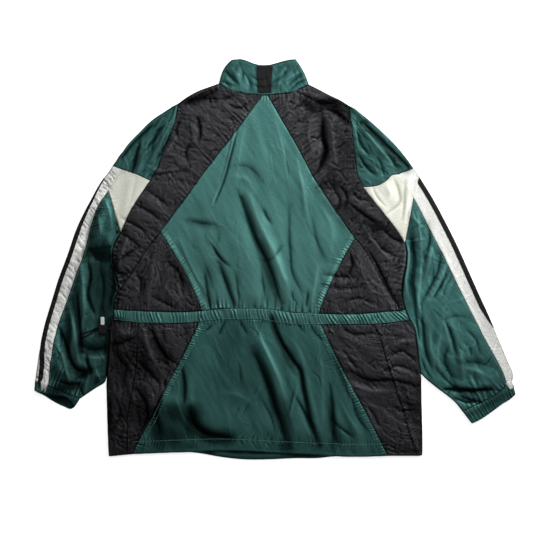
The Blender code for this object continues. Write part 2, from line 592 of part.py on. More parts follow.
def sleeve(side):
    """Cap, white gusset, white stripe with its black tape, lower sleeve, plain front and cuff."""
    cap_outer = [Vector(p) for p in LINE["cap_outer_" + side]]
    armhole = [Vector(p) for p in LINE["armhole_" + side]]
    armhole[0] = armhole[0].lerp(armhole[1], CAP_START)
    samples = [0.0, 0.25, 0.5, 0.75, 1.0]
    cap_rows = []
    for (a, b), (c, d) in zip(zip(armhole, armhole[1:]), zip(cap_outer, cap_outer[1:])):
        cap_rows += [(a.lerp(b, t), c.lerp(d, t)) for t in (0.0, 0.5)]
    cap_rows.append((armhole[-1], cap_outer[-1]))
    cap_rows[-1] = tuple(p + (q - p).normalized() * CAP_TRIM for p, q in zip(cap_rows[-1], cap_rows[-2]))
    rows = []
    for inner_end, outer_end in cap_rows:
        rows.append((inner_end + (outer_end - inner_end).normalized() * CAP_HEM, outer_end))
    outer = [folded_station(i, o, samples, 0.0) for i, o in rows]
    inner = [folded_station(i, o, samples, WALL) for i, o in rows]
    loft("sleeve_cap_" + side, outer, inner, False, "nylon_green_dark", DARK_GREEN)

    gusset = lines("-cap_seam_" + side)[:2] + [Vector(p) for p in LINE["stripe_top_" + side]][1:]
    gusset += [Vector(p) for p in LINE["gusset_edge_" + side]][1:]
    gusset += [Vector(p) for p in LINE["underarm_" + side]][-2:0:-1]
    panel("sleeve_gusset_" + side, gusset, top_height, "nylon_white", WHITE)

    casing_end = {"left": LINE["waist_low_outer_left"][0], "right": LINE["waist_low_outer_right"][-1]}
    body_edge = lines("side_left", "side_left_low") if side == "left" else lines("side_right")
    body_edge += [Vector(casing_end[side])] + lines("skirt_edge_" + side)[1:]
    body_edge += lines("forearm_" + side)[1:]
    knee = [Vector(p) for p in LINE["knee_" + side]]
    back = body_edge + knee[::-1]
    panel("sleeve_back_" + side, back, top_height, "nylon_green_dark", DARK_GREEN)
    front = [Vector(p) for p in LINE["underarm_" + side]][:-1] + body_edge + knee[::-1]
    front += [Vector(p) for p in LINE["stripe_top_" + side]][-2::-1]
    flat_panel("sleeve_front_" + side, front, "nylon_green_dark", DARK_GREEN)
    stripe(side, knee)
    cuff(side)


def stripe(side, knee):
    """The white stripe round the sleeve's outer fold, and the black tape sewn on it."""
    outer_line = [Vector(p) for p in LINE["outer_" + side]]
    inner_line = [Vector(p) for p in LINE["stripe_top_" + side]][:-1] + knee
    outer_line[0] = outer_line[0].lerp(outer_line[1], STRIPE_START[0])
    inner_line[0] = inner_line[0].lerp(inner_line[1], STRIPE_START[1])
    pairs = min(len(outer_line), len(inner_line))
    inner_line = inner_line[:pairs - 1] + [inner_line[-1]]
    outer_line = outer_line[:pairs - 1] + [outer_line[-1]]
    stations = []
    for (a, b), (c, d) in zip(zip(inner_line, inner_line[1:]), zip(outer_line, outer_line[1:])):
        count = max(1, round((d - c).length / STRIPE_STEP))
        stations += [(a.lerp(b, k / count), c.lerp(d, k / count)) for k in range(count)]
    stations.append((inner_line[-1], outer_line[-1]))
    last = stations[-1]
    stations[-1] = tuple(p + (q - p).normalized() * END_TRIM for p, q in zip(last, stations[-2]))
    outer, inner, tape_out, tape_in = [], [], [], []
    for inner_end, outer_end in stations:
        inner_end = inner_end + (outer_end - inner_end).normalized() * STRIPE_HEM
        width = (outer_end - inner_end).length
        tape_share = max(TAPE_LEAST, 1 - TAPE_WIDTH / (width - FOLD_RADIUS))
        samples = [0.0, tape_share / 2, tape_share, 1.0]
        row = folded_station(inner_end, outer_end, samples, 0.0)
        outer.append(row)
        inner.append(folded_station(inner_end, outer_end, samples, WALL))
        outwards = (outer_end - inner_end).normalized()
        for skin, lift in ((tape_out, SEAM + TAPE_THICKNESS), (tape_in, SEAM)):
            tilt = math.radians(FOLD_ANGLES[0])
            slant = Vector((*outwards * math.cos(tilt), math.sin(tilt))) * lift
            skin.append([row[2] + Vector((0, 0, lift)), row[3] + Vector((0, 0, lift)), row[4] + slant])
    loft("sleeve_stripe_" + side, outer, inner, False, "nylon_white", WHITE)
    stop = len(stations) - (TAPE_SHORT_RIGHT if side == "right" else 0)
    loft("sleeve_tape_" + side, tape_out[TAPE_START:stop], tape_in[TAPE_START:stop], False,
         "tape_black", BLACK)


def cuff(side):
    """The elastic cuff: a flattened ring with gathers over the back."""
    spec = CUFF[side]
    count = GATHERS_CUFF * SAMPLES_PER_GATHER
    samples = [k / count for k in range(count + 1)]

    def gathers(s):
        return CUFF_GATHER_HEIGHT * math.sin(2 * math.pi * GATHERS_CUFF * s + 0.7 * math.sin(6.0 * s))

    def bowed(ends, bulge):
        a, b = (Vector(p) for p in ends)
        out = Vector(((b - a).y, -(b - a).x)).normalized()
        out = out if out.y < 0 else -out
        return [a.lerp(b, t) + out * bulge * math.sin(math.pi * t) for t in (0, 0.25, 0.5, 0.75, 1)]

    seam_line = bowed(spec["seam"], 0.0)
    mouth = bowed(spec["back"], 0.0)
    front_mouth = bowed(spec["front"], spec["bulge"])
    outer, inner = [], []
    for share in (0.02, 0.35, 0.7, 1.0):
        line = [a.lerp(b, share) for a, b in zip(seam_line, mouth)]
        low = [a.lerp(b, share) for a, b in zip(seam_line, front_mouth)]
        outer.append(ring_station(line, samples, 0.0, gathers, CUFF_LOW_POINTS, low))
        inner.append(ring_station(line, samples, WALL, gathers, CUFF_LOW_POINTS, low))
    loft("cuff_" + side, outer, inner, True, "nylon_green_dark", DARK_GREEN)


def smooth_run(points, count):
    """A smooth curve through the points, which passes each of them."""
    spans = len(points) - 1
    curve = []
    for k in range(count):
        place = k / (count - 1) * spans
        i = min(int(place), spans - 1)
        t = place - i
        p0, p1 = points[max(i - 1, 0)], points[i]
        p2, p3 = points[i + 1], points[min(i + 2, spans)]
        curve.append(0.5 * ((2 * p1) + (p2 - p0) * t + (2 * p0 - 5 * p1 + 4 * p2 - p3) * t * t
                            + (3 * p1 - p0 - 3 * p2 + p3) * t ** 3))
    return curve


def surface_height(names):
    """A function that gives the top of the named panels, as they are meshed, in mm."""
    trees = []
    for name in names:
        mesh = COLLECTION.objects[name].data
        corners = [v.co for v in mesh.vertices]
        trees.append(BVHTree.FromPolygons(corners, [tuple(p.vertices) for p in mesh.polygons]))

    def height(x, y):
        start = Vector((x * MM, y * MM, 1.0))
        hits = [tree.ray_cast(start, Vector((0, 0, -1)))[0] for tree in trees]
        return max([hit.z / MM for hit in hits if hit] + [EDGE_HEIGHT])

    return height


def drawcord():
    """The waist's elastic cord: out of the casing, through its lock, round a loop and back in."""
    under_cord = surface_height(("sleeve_back_left", "skirt_outer_left", "waist_casing"))
    lock_centre = Vector(LOCK_CENTRE)
    half_x, half_y = LOCK_SIZE[0] / 2, LOCK_SIZE[1] / 2
    spots = [lock_centre + Vector((half_x * i / 4, half_y * j / 4 + 4))
             for i in range(-4, 5) for j in range(-6, 9)]
    seat = max(under_cord(p.x, p.y) for p in spots) + LAYER
    radius = CORD_DIAMETER / 2
    in_lock = seat + LOCK_SIZE[2] / 2
    points = []
    for x, y, inside in CORD_ROUTE:
        near = [(x + dx, y + dy) for dx in (-2, 0, 2) for dy in (-2, 0, 2)
                if x + dx < CASING_END_X]
        lying = max(under_cord(*spot) for spot in near)
        points.append(Vector((x, y, in_lock if inside else lying + LAYER + CORD_LIFT + radius)))
    run = smooth_run(points, CORD_POINTS)
    curve = bpy.data.curves.new("drawcord", "CURVE")
    curve.dimensions = "3D"
    curve.bevel_depth = radius * MM
    curve.bevel_resolution = 2
    curve.use_fill_caps = True
    spline = curve.splines.new("POLY")
    spline.points.add(len(run) - 1)
    for place, p in zip(spline.points, run):
        place.co = (p.x * MM, p.y * MM, p.z * MM, 1.0)
    curve.materials.append(material("cord_black", BLACK, 0.7))
    cord = bpy.data.objects.new("drawcord", curve)
    COLLECTION.objects.link(cord)

    bpy.ops.mesh.primitive_cube_add(size=1)
    lock = bpy.context.object
    lock.name = lock.data.name = "cord_lock"
    lock.scale = Vector(LOCK_SIZE) * MM
    lock.location = Vector((*lock_centre, in_lock)) * MM
    bpy.ops.object.transform_apply(location=False, rotation=False, scale=True)
    rounded = lock.modifiers.new("rounded", "BEVEL")
    rounded.width = LOCK_ROUND * MM
    rounded.segments = 2
    bpy.ops.mesh.primitive_cube_add(size=1)
    channel = bpy.context.object
    channel.name = "cord_channel_cutter"
    channel.scale = Vector(CHANNEL_SIZE) * MM
    channel.location = Vector((lock_centre.x, CHANNEL_Y, in_lock)) * MM
    channel.hide_render = True
    channel.display_type = "WIRE"
    cut = lock.modifiers.new("channel", "BOOLEAN")
    cut.operation = "DIFFERENCE"
    cut.object = channel
    lock.data.materials.append(material("plastic_black", BLACK, 0.4))
    move_to(lock, COLLECTION)
    move_to(channel, CUTTERS)

    bpy.ops.mesh.primitive_cube_add(size=1)
    button = bpy.context.object
    button.name = button.data.name = "cord_lock_button"
    button.scale = Vector(BUTTON_SIZE) * MM
    rear = lock_centre.y + half_y + LAYER + BUTTON_SIZE[1] / 2
    button.location = Vector((lock_centre.x, rear, in_lock)) * MM
    bpy.ops.object.transform_apply(location=False, rotation=False, scale=True)
    rounded = button.modifiers.new("rounded", "BEVEL")
    rounded.width = BUTTON_ROUND * MM
    rounded.segments = 2
    button.data.materials.append(material("plastic_pale", PALE, 0.4))
    move_to(button, COLLECTION)


def move_to(item, collection):
    for old in list(item.users_collection):
        old.objects.unlink(item)
    collection.objects.link(item)


clear_scene()
COLLECTION = bpy.data.collections.new("pullover_jacket")
CUTTERS = bpy.data.collections.new("cutters")
bpy.context.scene.collection.children.link(COLLECTION)
bpy.context.scene.collection.children.link(CUTTERS)

back_panels()
front_panels()
waist_casing()
collar()
sleeve("left")
sleeve("right")
drawcord()
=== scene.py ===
# %% [markdown]
# # A nylon pullover windbreaker, laid flat with its back up
#
# The real jacket is thin, soft nylon, sewn from flat pieces and dropped on a table. What the eye
# reads is the cut (a green kite between black bands), the gathers of the elastic waist and the
# hundreds of creases that make satin cloth sparkle. All of it is made here as one height map over
# the table, and every sewn piece is a sheet that takes its height from that map, so that
# neighbours always meet at their seam.

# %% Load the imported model
import math

import bmesh
import bpy
import numpy as np
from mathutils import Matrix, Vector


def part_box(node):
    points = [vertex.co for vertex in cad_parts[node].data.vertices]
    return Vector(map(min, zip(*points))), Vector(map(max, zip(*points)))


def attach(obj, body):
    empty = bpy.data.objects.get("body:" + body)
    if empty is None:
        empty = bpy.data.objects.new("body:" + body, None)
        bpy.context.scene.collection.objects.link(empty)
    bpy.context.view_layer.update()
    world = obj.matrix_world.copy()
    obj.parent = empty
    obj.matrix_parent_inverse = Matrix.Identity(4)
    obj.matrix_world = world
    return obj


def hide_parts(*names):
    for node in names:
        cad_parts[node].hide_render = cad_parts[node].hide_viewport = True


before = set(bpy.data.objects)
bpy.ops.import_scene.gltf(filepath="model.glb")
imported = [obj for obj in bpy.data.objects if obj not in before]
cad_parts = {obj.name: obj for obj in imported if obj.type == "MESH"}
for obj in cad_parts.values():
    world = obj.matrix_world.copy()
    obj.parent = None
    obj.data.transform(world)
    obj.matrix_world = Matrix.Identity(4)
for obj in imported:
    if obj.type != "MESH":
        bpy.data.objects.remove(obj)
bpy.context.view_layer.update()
MM = 0.001

# %% [markdown]
# ## Camera
#
# The camera looks straight down at the table from 2.4 m with a long lens, so that the sleeves keep
# their size out to the cuffs. The lens is worked out from the width of table that has to show.

# %% Camera
# all in metres
VIEW_CENTRE = (-0.0183, -0.0156)
VIEW_WIDTH = 1.1486
CAMERA_HEIGHT = 2.4
CLOTH_LEVEL = 0.006


def in_scene(name, data):
    """A new object of this mesh, light or camera, linked to the scene."""
    added = bpy.data.objects.new(name, data)
    bpy.context.scene.collection.objects.link(added)
    return added


camera = in_scene("camera", bpy.data.cameras.new("camera"))
camera.location = (*VIEW_CENTRE, CAMERA_HEIGHT)
camera.data.sensor_width = 36.0
camera.data.lens = camera.data.sensor_width * (CAMERA_HEIGHT - CLOTH_LEVEL) / VIEW_WIDTH
bpy.context.scene.camera = camera
print(f"lens {camera.data.lens:.1f} mm")

# %% [markdown]
# ## The cut
#
# Every seam and edge is one named line, seen from above, in millimetres: x across, y up to the
# collar, zero in the middle of the garment. Two pieces that are sewn together use the same line,
# so no gap can open between them.

# %% Seams and edges in plan
LINE = {
    "neck_left": [(-120, 378), (-96, 365), (-71, 358), (-46, 355), (-27, 353)],
    "neck_mid": [(-27, 353), (-16, 353)],
    "neck_right": [(-16, 353), (3, 355), (36, 360), (58, 369), (72, 376)],
    "collar_top": [(-93, 429), (-83, 430), (-74, 430.4), (-61, 427), (-46, 421), (-33, 418), (-22, 417.4),
                   (-8, 419), (3, 422), (21, 427), (34, 429.5), (44, 430.4)],
    "collar_left": [(-120, 378), (-112, 404), (-103, 419), (-93, 429)],
    "collar_right": [(72, 376), (64, 397), (55, 414), (44, 430.4)],
    "shoulder_left": [(-120, 378), (-140, 371), (-162, 363), (-187, 350), (-209, 334)],
    "armhole_left": [(-209, 334), (-214, 304), (-222, 276), (-240, 237), (-252, 199), (-269, 169)],
    "underarm_left": [(-269, 169), (-294, 132), (-313, 101), (-325, 75), (-332, 58)],
    "side_left": [(-332, 58), (-348, 28), (-351, 7), (-343, -35), (-338, -64), (-346, -87)],
    "side_left_low": [(-346, -87), (-348, -108)],
    "casing_end_left": [(-348, -108), (-349, -131)],
    "shoulder_right": [(72, 376), (95, 364.5), (118, 352.5), (140, 342), (159, 330)],
    "armhole_right": [(159, 330), (162, 304), (168, 258), (174, 204), (179, 176), (190, 155)],
    "underarm_right": [(190, 155), (210, 129), (240, 92), (262, 64), (280, 36)],
    "side_right": [(280, 36), (284, 17), (282, -15), (276, -46), (274, -78), (281, -109)],
    "casing_end_right": [(281, -109), (290, -131)],
    "kite_left_upper": [(-27, 353), (-55, 315), (-84, 275), (-113, 238), (-143, 200), (-193, 131),
                        (-247, 58)],
    "kite_left_lower": [(-247, 58), (-206, -8), (-178, -62), (-157, -111)],
    "kite_right_upper": [(-16, 353), (13, 302), (45, 247), (86, 171), (125, 111), (172, 45)],
    "kite_right_lower": [(172, 45), (142, -8), (110, -75), (94, -117)],
    "band_seam_left": [(-247, 58), (-275, 23), (-304, -22), (-325, -53), (-346, -87)],
    "band_seam_right": [(172, 45), (195, 17), (220, -28), (246, -71), (272, -111)],
    "waist_top_side_left": [(-348, -108), (-281, -112), (-185, -113), (-157, -111)],
    "waist_top_kite": [(-157, -111), (-119, -107), (-77, -106), (-34, -107), (-2, -109), (30, -114),
                       (94, -117)],
    "waist_top_side_right": [(94, -117), (173, -118), (228, -114), (272, -111)],
    "waist_top_band_right": [(272, -111), (281, -109)],
    "waist_low_outer_left": [(-349, -131), (-295, -137)],
    "waist_low_side_left": [(-295, -137), (-240, -138), (-185, -137), (-163, -135)],
    "waist_low_centre": [(-163, -135), (-141, -132), (-77, -130), (-34, -130), (9, -137), (41, -141),
                         (99, -141)],
    "waist_low_side_right": [(99, -141), (151, -141), (213, -140)],
    "waist_low_outer_right": [(213, -140), (242, -138), (290, -131)],
    "skirt_edge_left": [(-349, -131), (-354, -141), (-357, -181), (-363, -251)],
    "skirt_edge_left_low": [(-363, -251), (-361, -322), (-359.5, -375), (-357.5, -424)],
    "skirt_edge_right": [(290, -131), (297, -141), (306, -187), (312, -236), (314, -245)],
    "skirt_edge_right_low": [(314, -245), (315, -310), (316.5, -370), (317, -422)],
    "outer_seam_left": [(-295, -137), (-300, -236), (-310, -298), (-317, -333), (-318, -420)],
    "outer_seam_right": [(213, -140), (226, -172), (243, -229), (260, -281), (275, -325), (288, -372),
                         (307, -423)],
    "skirt_seam_left": [(-163, -135), (-202, -214), (-237, -280), (-265, -340), (-302, -408), (-306, -419)],
    "skirt_seam_right": [(99, -141), (142, -231), (193, -325), (243, -423)],
    "hem_outer_left": [(-357.5, -424), (-318, -420)],
    "hem_side_left": [(-318, -420), (-306, -419)],
    "hem_centre": [(-306, -419), (-190, -415), (-120, -413.5), (-54, -415), (13, -419), (95, -422),
                   (169, -425), (243, -423)],
    "hem_side_right": [(243, -423), (307, -423)],
    "hem_outer_right": [(307, -423), (317, -422)],
    "hem_front": [(-357.5, -424), (-300, -419), (-190, -414.5), (-158, -418), (-122, -424.5), (-76, -430),
                  (-11, -430.4), (40, -428), (95, -427.5), (124, -424.5), (170, -424), (317, -422)],
    "cap_outer_left": [(-222, 327), (-236, 318), (-263, 300), (-293, 271), (-306.5, 257.5), (-317.5, 245),
                       (-326.5, 232), (-335.5, 221), (-339.5, 214), (-343, 209), (-349, 201)],
    "cap_outer_right": [(172, 323), (202, 299), (233, 271), (263.5, 240), (280, 220), (298, 195)],
    "cap_stripe_left": [(-349, 201), (-330, 193.4)],
    "cap_gusset_left": [(-330, 193.4), (-300, 183), (-269, 169)],
    "cap_gusset_right": [(190, 155), (204, 155.5), (220, 158), (239, 168), (253, 181), (265, 182.8)],
    "cap_stripe_right": [(265, 182.8), (298, 195)],
    "stripe_top_left": [(-330, 193.4), (-345, 171), (-359, 148)],
    "stripe_top_right": [(265, 182.8), (284, 158), (298, 132)],
    "gusset_edge_left": [(-359, 148), (-332, 58)],
    "gusset_edge_right": [(298, 132), (280, 36)],
    "knee_left": [(-359, 148), (-384, 110), (-398, 69), (-414, 7), (-432, -43), (-449, -92), (-469, -146),
                  (-480, -197), (-486, -241), (-489, -273)],
    "knee_right": [(298, 132), (315, 101), (336, 59), (359, 15), (381, -30), (404, -77), (427.5, -123.5),
                   (451, -170), (474, -211), (491, -244), (500, -271)],
    "outer_left": [(-349, 201), (-357.5, 187), (-367, 175), (-397, 124), (-424.5, 69), (-447, 5),
                   (-465, -43), (-480, -92), (-496, -146), (-507, -200), (-513, -241), (-516, -262)],
    "outer_right": [(298, 195), (304.5, 187), (311, 176), (338, 132), (367, 78), (391, 30), (414, -21),
                    (439, -77), (460, -123), (479.5, -170), (500, -219), (512, -252), (510, -265)],
    "forearm_left": [(-363, -251), (-366, -262), (-385, -275), (-403, -287), (-422, -300)],
    "forearm_right": [(314, -245), (330, -260), (351, -277), (373, -293.5), (390, -308), (406, -328)],
    "cuff_stripe_left": [(-516, -262), (-489, -273)],
    "cuff_seam_left": [(-489, -273), (-455, -287), (-422, -300)],
    "cuff_seam_right": [(406, -328), (436, -312), (470, -296), (500, -271)],
    "cuff_stripe_right": [(500, -271), (510, -265)],
    "cuff_outer_left": [(-516, -262), (-517.9, -283)],
    "cuff_inner_left": [(-422, -300), (-433, -319)],
    "cuff_inner_right": [(406, -328), (425, -353)],
    "cuff_outer_right": [(510, -265), (517.9, -291)],
    "mouth_left": [(-517.9, -283), (-498, -289), (-471, -293.5), (-450, -297), (-439, -306), (-433, -319)],
    "mouth_front_left": [(-517.9, -283), (-504, -290), (-485, -303), (-456, -318), (-440, -323),
                         (-433, -319)],
    "mouth_right": [(425, -353), (441, -345), (468, -327), (491, -310), (506, -301), (517.9, -291)],
}


def smooth(points, per_span=8):
    """Smooth curve through the points: on each span a cubic that leaves and arrives with slopes
    taken from the neighbouring spans, weighted by how near they are."""
    p = np.asarray(points, float)
    if len(p) == 2:
        return p[0] + (p[1] - p[0]) * np.linspace(0, 1, 3)[:, None]
    span = np.linalg.norm(np.diff(p, axis=0), axis=1)[:, None]
    step = np.diff(p, axis=0) / span
    inner = (step[1:] * span[:-1] + step[:-1] * span[1:]) / (span[:-1] + span[1:])
    slope = np.vstack([step[:1], inner, step[-1:]])
    t = np.linspace(0, 1, per_span, endpoint=False)[None, :, None]
    a, b = p[:-1, None], p[1:, None]
    m, n = (slope[:-1] * span)[:, None], (slope[1:] * span)[:, None]
    curve = (2 * t**3 - 3 * t**2 + 1) * a + (t**3 - 2 * t**2 + t) * m
    curve += (3 * t**2 - 2 * t**3) * b + (t**3 - t**2) * n
    return np.vstack([curve.reshape(-1, p.shape[1]), p[-1:]])


SMOOTH = {name: smooth(points) for name, points in LINE.items()}


def rail(names):
    """Joins the lines named in a text end to end; a name that starts with - runs backwards."""
    parts = [SMOOTH[n.lstrip("-")][::-1] if n.startswith("-") else SMOOTH[n] for n in names.split()]
    return np.vstack([parts[0]] + [part[1:] for part in parts[1:]])


def lengths(run):
    """The distance from the run's start to each of its points, along the run."""
    return np.concatenate([[0.0], np.cumsum(np.linalg.norm(np.diff(run, axis=0), axis=1))])


def at(run, reach):
    """The points of a run at these distances from its start."""
    passed = lengths(run)
    return np.stack([np.interp(reach, passed, run[:, k]) for k in range(run.shape[1])], axis=-1)


def beside(run, gap):
    """The run moved to its left by a gap, which may change along it."""
    step = np.gradient(run, axis=0)
    step /= np.linalg.norm(step, axis=1)[:, None]
    return run + np.stack([-step[:, 1], step[:, 0]], axis=1) * np.broadcast_to(gap, len(run))[:, None]


total = sum(lengths(run)[-1] for run in SMOOTH.values())
print(len(LINE), "seams and edges,", round(total * MM, 1), "m in all")

# %% [markdown]
# ## A height map of the cloth
#
# Cloth that lies on a table is a height over every point of it, so the whole garment is first
# worked out as one map with a cell for every millimetre. Along an edge the two layers lie flat on
# each other, and further in some air is left between them, which lifts the back like a cushion.

# %% The empty map, and how far each cell is from a line
X_CELLS = np.arange(-560.0, 560.0)
Y_CELLS = np.arange(-480.0, 480.0)
GX, GY = np.meshgrid(X_CELLS, Y_CELLS)
FAR = 9999.0
SOFT_EDGE = 4.0


def near(run, reach):
    """The window of the map within reach of a run, and for its cells the distance to the run
    (positive on its left, FAR where no part of the run is in reach), the distance along the run,
    and the run's own length. Each short step of the run works on its own corner of the window."""
    run = np.asarray(run, float) - [X_CELLS[0], Y_CELLS[0]]
    low = np.clip((run.min(0) - reach).astype(int), 0, None)
    high = (run.max(0) + reach).astype(int) + 2
    window = np.s_[low[1]:high[1], low[0]:high[0]]
    shape = GX[window].shape
    best = np.full(shape, FAR**2)
    side = np.ones(shape)
    along = np.zeros(shape)
    passed = 0.0
    for a, b in zip(run[:-1], run[1:]):
        step = b - a
        length = np.hypot(*step)
        first = np.clip((np.minimum(a, b) - reach).astype(int) - low, 0, None)
        last = (np.maximum(a, b) + reach).astype(int) + 2 - low
        part = np.s_[first[1]:last[1], first[0]:last[0]]
        x = np.arange(shape[1])[part[1]][None] + low[0]
        y = np.arange(shape[0])[part[0]][:, None] + low[1]
        t = np.clip(((x - a[0]) * step[0] + (y - a[1]) * step[1]) / length**2, 0, 1)
        dx, dy = x - a[0] - t * step[0], y - a[1] - t * step[1]
        gap = dx**2 + dy**2
        closer = gap < best[part]
        best[part] = np.where(closer, gap, best[part])
        side[part] = np.where(closer, step[0] * dy - step[1] * dx, side[part])
        along[part] = np.where(closer, passed + t * length, along[part])
        passed += length
    return window, np.copysign(np.sqrt(best), side), along, passed


def nearest(names, reach, beyond=FAR):
    """The distance to the nearest of these lines where one is within reach, and beyond elsewhere."""
    field = np.full(GX.shape, beyond)
    for name in names:
        window, gap, _, _ = near(SMOOTH[name], reach)
        field[window] = np.minimum(field[window], np.abs(gap))
    return field


def sample(field, x, y):
    """The map's value between its cells: each of the four cells round a point counts by nearness."""
    column = np.clip(x - X_CELLS[0], 0, len(X_CELLS) - 1.001)
    row = np.clip(y - Y_CELLS[0], 0, len(Y_CELLS) - 1.001)
    i, j = column.astype(int), row.astype(int)
    s, t = column - i, row - j
    upper = field[j, i] * (1 - s) + field[j, i + 1] * s
    lower = field[j + 1, i] * (1 - s) + field[j + 1, i + 1] * s
    return upper * (1 - t) + lower * t


def over(field, xy):
    """The map's value at each point of a grid in plan."""
    return sample(field, xy[..., 0], xy[..., 1])


def frequencies():
    """How many waves fit in a mm, down the map and across it, for each term of its transform."""
    return np.fft.fftfreq(len(Y_CELLS))[:, None], np.fft.rfftfreq(len(X_CELLS))[None]


def blurred(field, size):
    """The map, blurred by a bell curve of this size in mm."""
    fy, fx = frequencies()
    soft = np.exp(-2 * np.pi**2 * size**2 * (fx**2 + fy**2))
    return np.fft.irfft2(np.fft.rfft2(field) * soft, s=field.shape)


def grain(seed, long, short, turn=0.0):
    """Smooth random streaks: white noise, blurred by long mm in the direction turn (degrees from
    x) and by short mm across it, then scaled to a spread of one."""
    fy, fx = frequencies()
    c, s = math.cos(math.radians(turn)), math.sin(math.radians(turn))
    along, across = fx * c + fy * s, fy * c - fx * s
    soft = np.exp(-2 * np.pi**2 * ((along * long) ** 2 + (across * short) ** 2))
    noise = np.random.default_rng(seed).standard_normal(GX.shape)
    field = np.fft.irfft2(np.fft.rfft2(noise) * soft, s=GX.shape)
    return field / field.std()


def region(names):
    """1 inside the closed run of named lines and 0 outside, with a soft edge: a cell is inside
    where a ray to its right crosses the run an odd number of times."""
    run = rail(names)
    inside = np.zeros(GX.shape, bool)
    for (ax, ay), (bx, by) in zip(run, np.roll(run, -1, axis=0)):
        first, last = np.ceil(np.sort([ay, by]) - Y_CELLS[0]).astype(int)
        if last > first:
            rows = np.s_[first:last]
            inside[rows] ^= GX[rows] < ax + (GY[rows] - ay) * (bx - ax) / (by - ay)
    return blurred(inside.astype(float), SOFT_EDGE)


print("map of", GX.shape, "cells")

# %% [markdown]
# A rolled edge is round, so seen from above the cloth bulges a little past its fold line. The
# bulge is worked out once for the whole outline: a blurred picture of the garment is steepest at
# its edge, and there its slope gives both the way outwards and how far to go.

# %% The bulge of the outline
OUTLINE = (
    "collar_left collar_top -collar_right shoulder_right cap_outer_right outer_right cuff_outer_right "
    "-mouth_right -cuff_inner_right -forearm_right skirt_edge_right_low -hem_front -skirt_edge_left_low "
    "forearm_left cuff_inner_left -mouth_left -cuff_outer_left -outer_left -cap_outer_left "
    "-shoulder_left")
BULGE = 1.5
slope_y, slope_x = np.gradient(region(OUTLINE))
bulge_x = -BULGE * SOFT_EDGE * math.sqrt(2 * math.pi) * slope_x
bulge_y = -BULGE * SOFT_EDGE * math.sqrt(2 * math.pi) * slope_y
print("bulge of up to", round(float(np.hypot(bulge_x, bulge_y).max()), 1), "mm")

# %% Two flat layers, lifted by air
FOLD_ROUND = 3.0
PUFF = 5.0
PUFF_REACH = 42.0
EDGES = (
    "collar_left collar_top collar_right shoulder_left shoulder_right side_left side_left_low "
    "casing_end_left side_right casing_end_right skirt_edge_left skirt_edge_left_low skirt_edge_right "
    "skirt_edge_right_low hem_outer_left hem_side_left hem_centre hem_side_right hem_outer_right "
    "cap_outer_left cap_outer_right outer_left outer_right forearm_left forearm_right cuff_outer_left "
    "cuff_inner_left cuff_outer_right cuff_inner_right mouth_left mouth_right")
EDGE_REACH = 150
from_edge = nearest(EDGES.split(), EDGE_REACH)


def quarter_round(gap):
    """0 at an edge and 1 from 3 mm inwards, along a quarter of a circle between them."""
    turn = np.sqrt(np.clip(1 - (1 - gap / FOLD_ROUND) ** 2, 0, 1))
    return np.where(gap < FOLD_ROUND, turn, 1.0)


def base_height(gap):
    """A quarter round from 3 mm at the edge up to 6 mm, then air: 1 - exp(-(d/42)^1.3)."""
    air = 1 - np.exp(-((np.clip(gap - FOLD_ROUND, 0, None) / PUFF_REACH) ** 1.3))
    return FOLD_ROUND + FOLD_ROUND * quarter_round(gap) + PUFF * air


height = base_height(from_edge)
print(f"highest point before any fold {height[from_edge < FAR].max():.1f} mm")
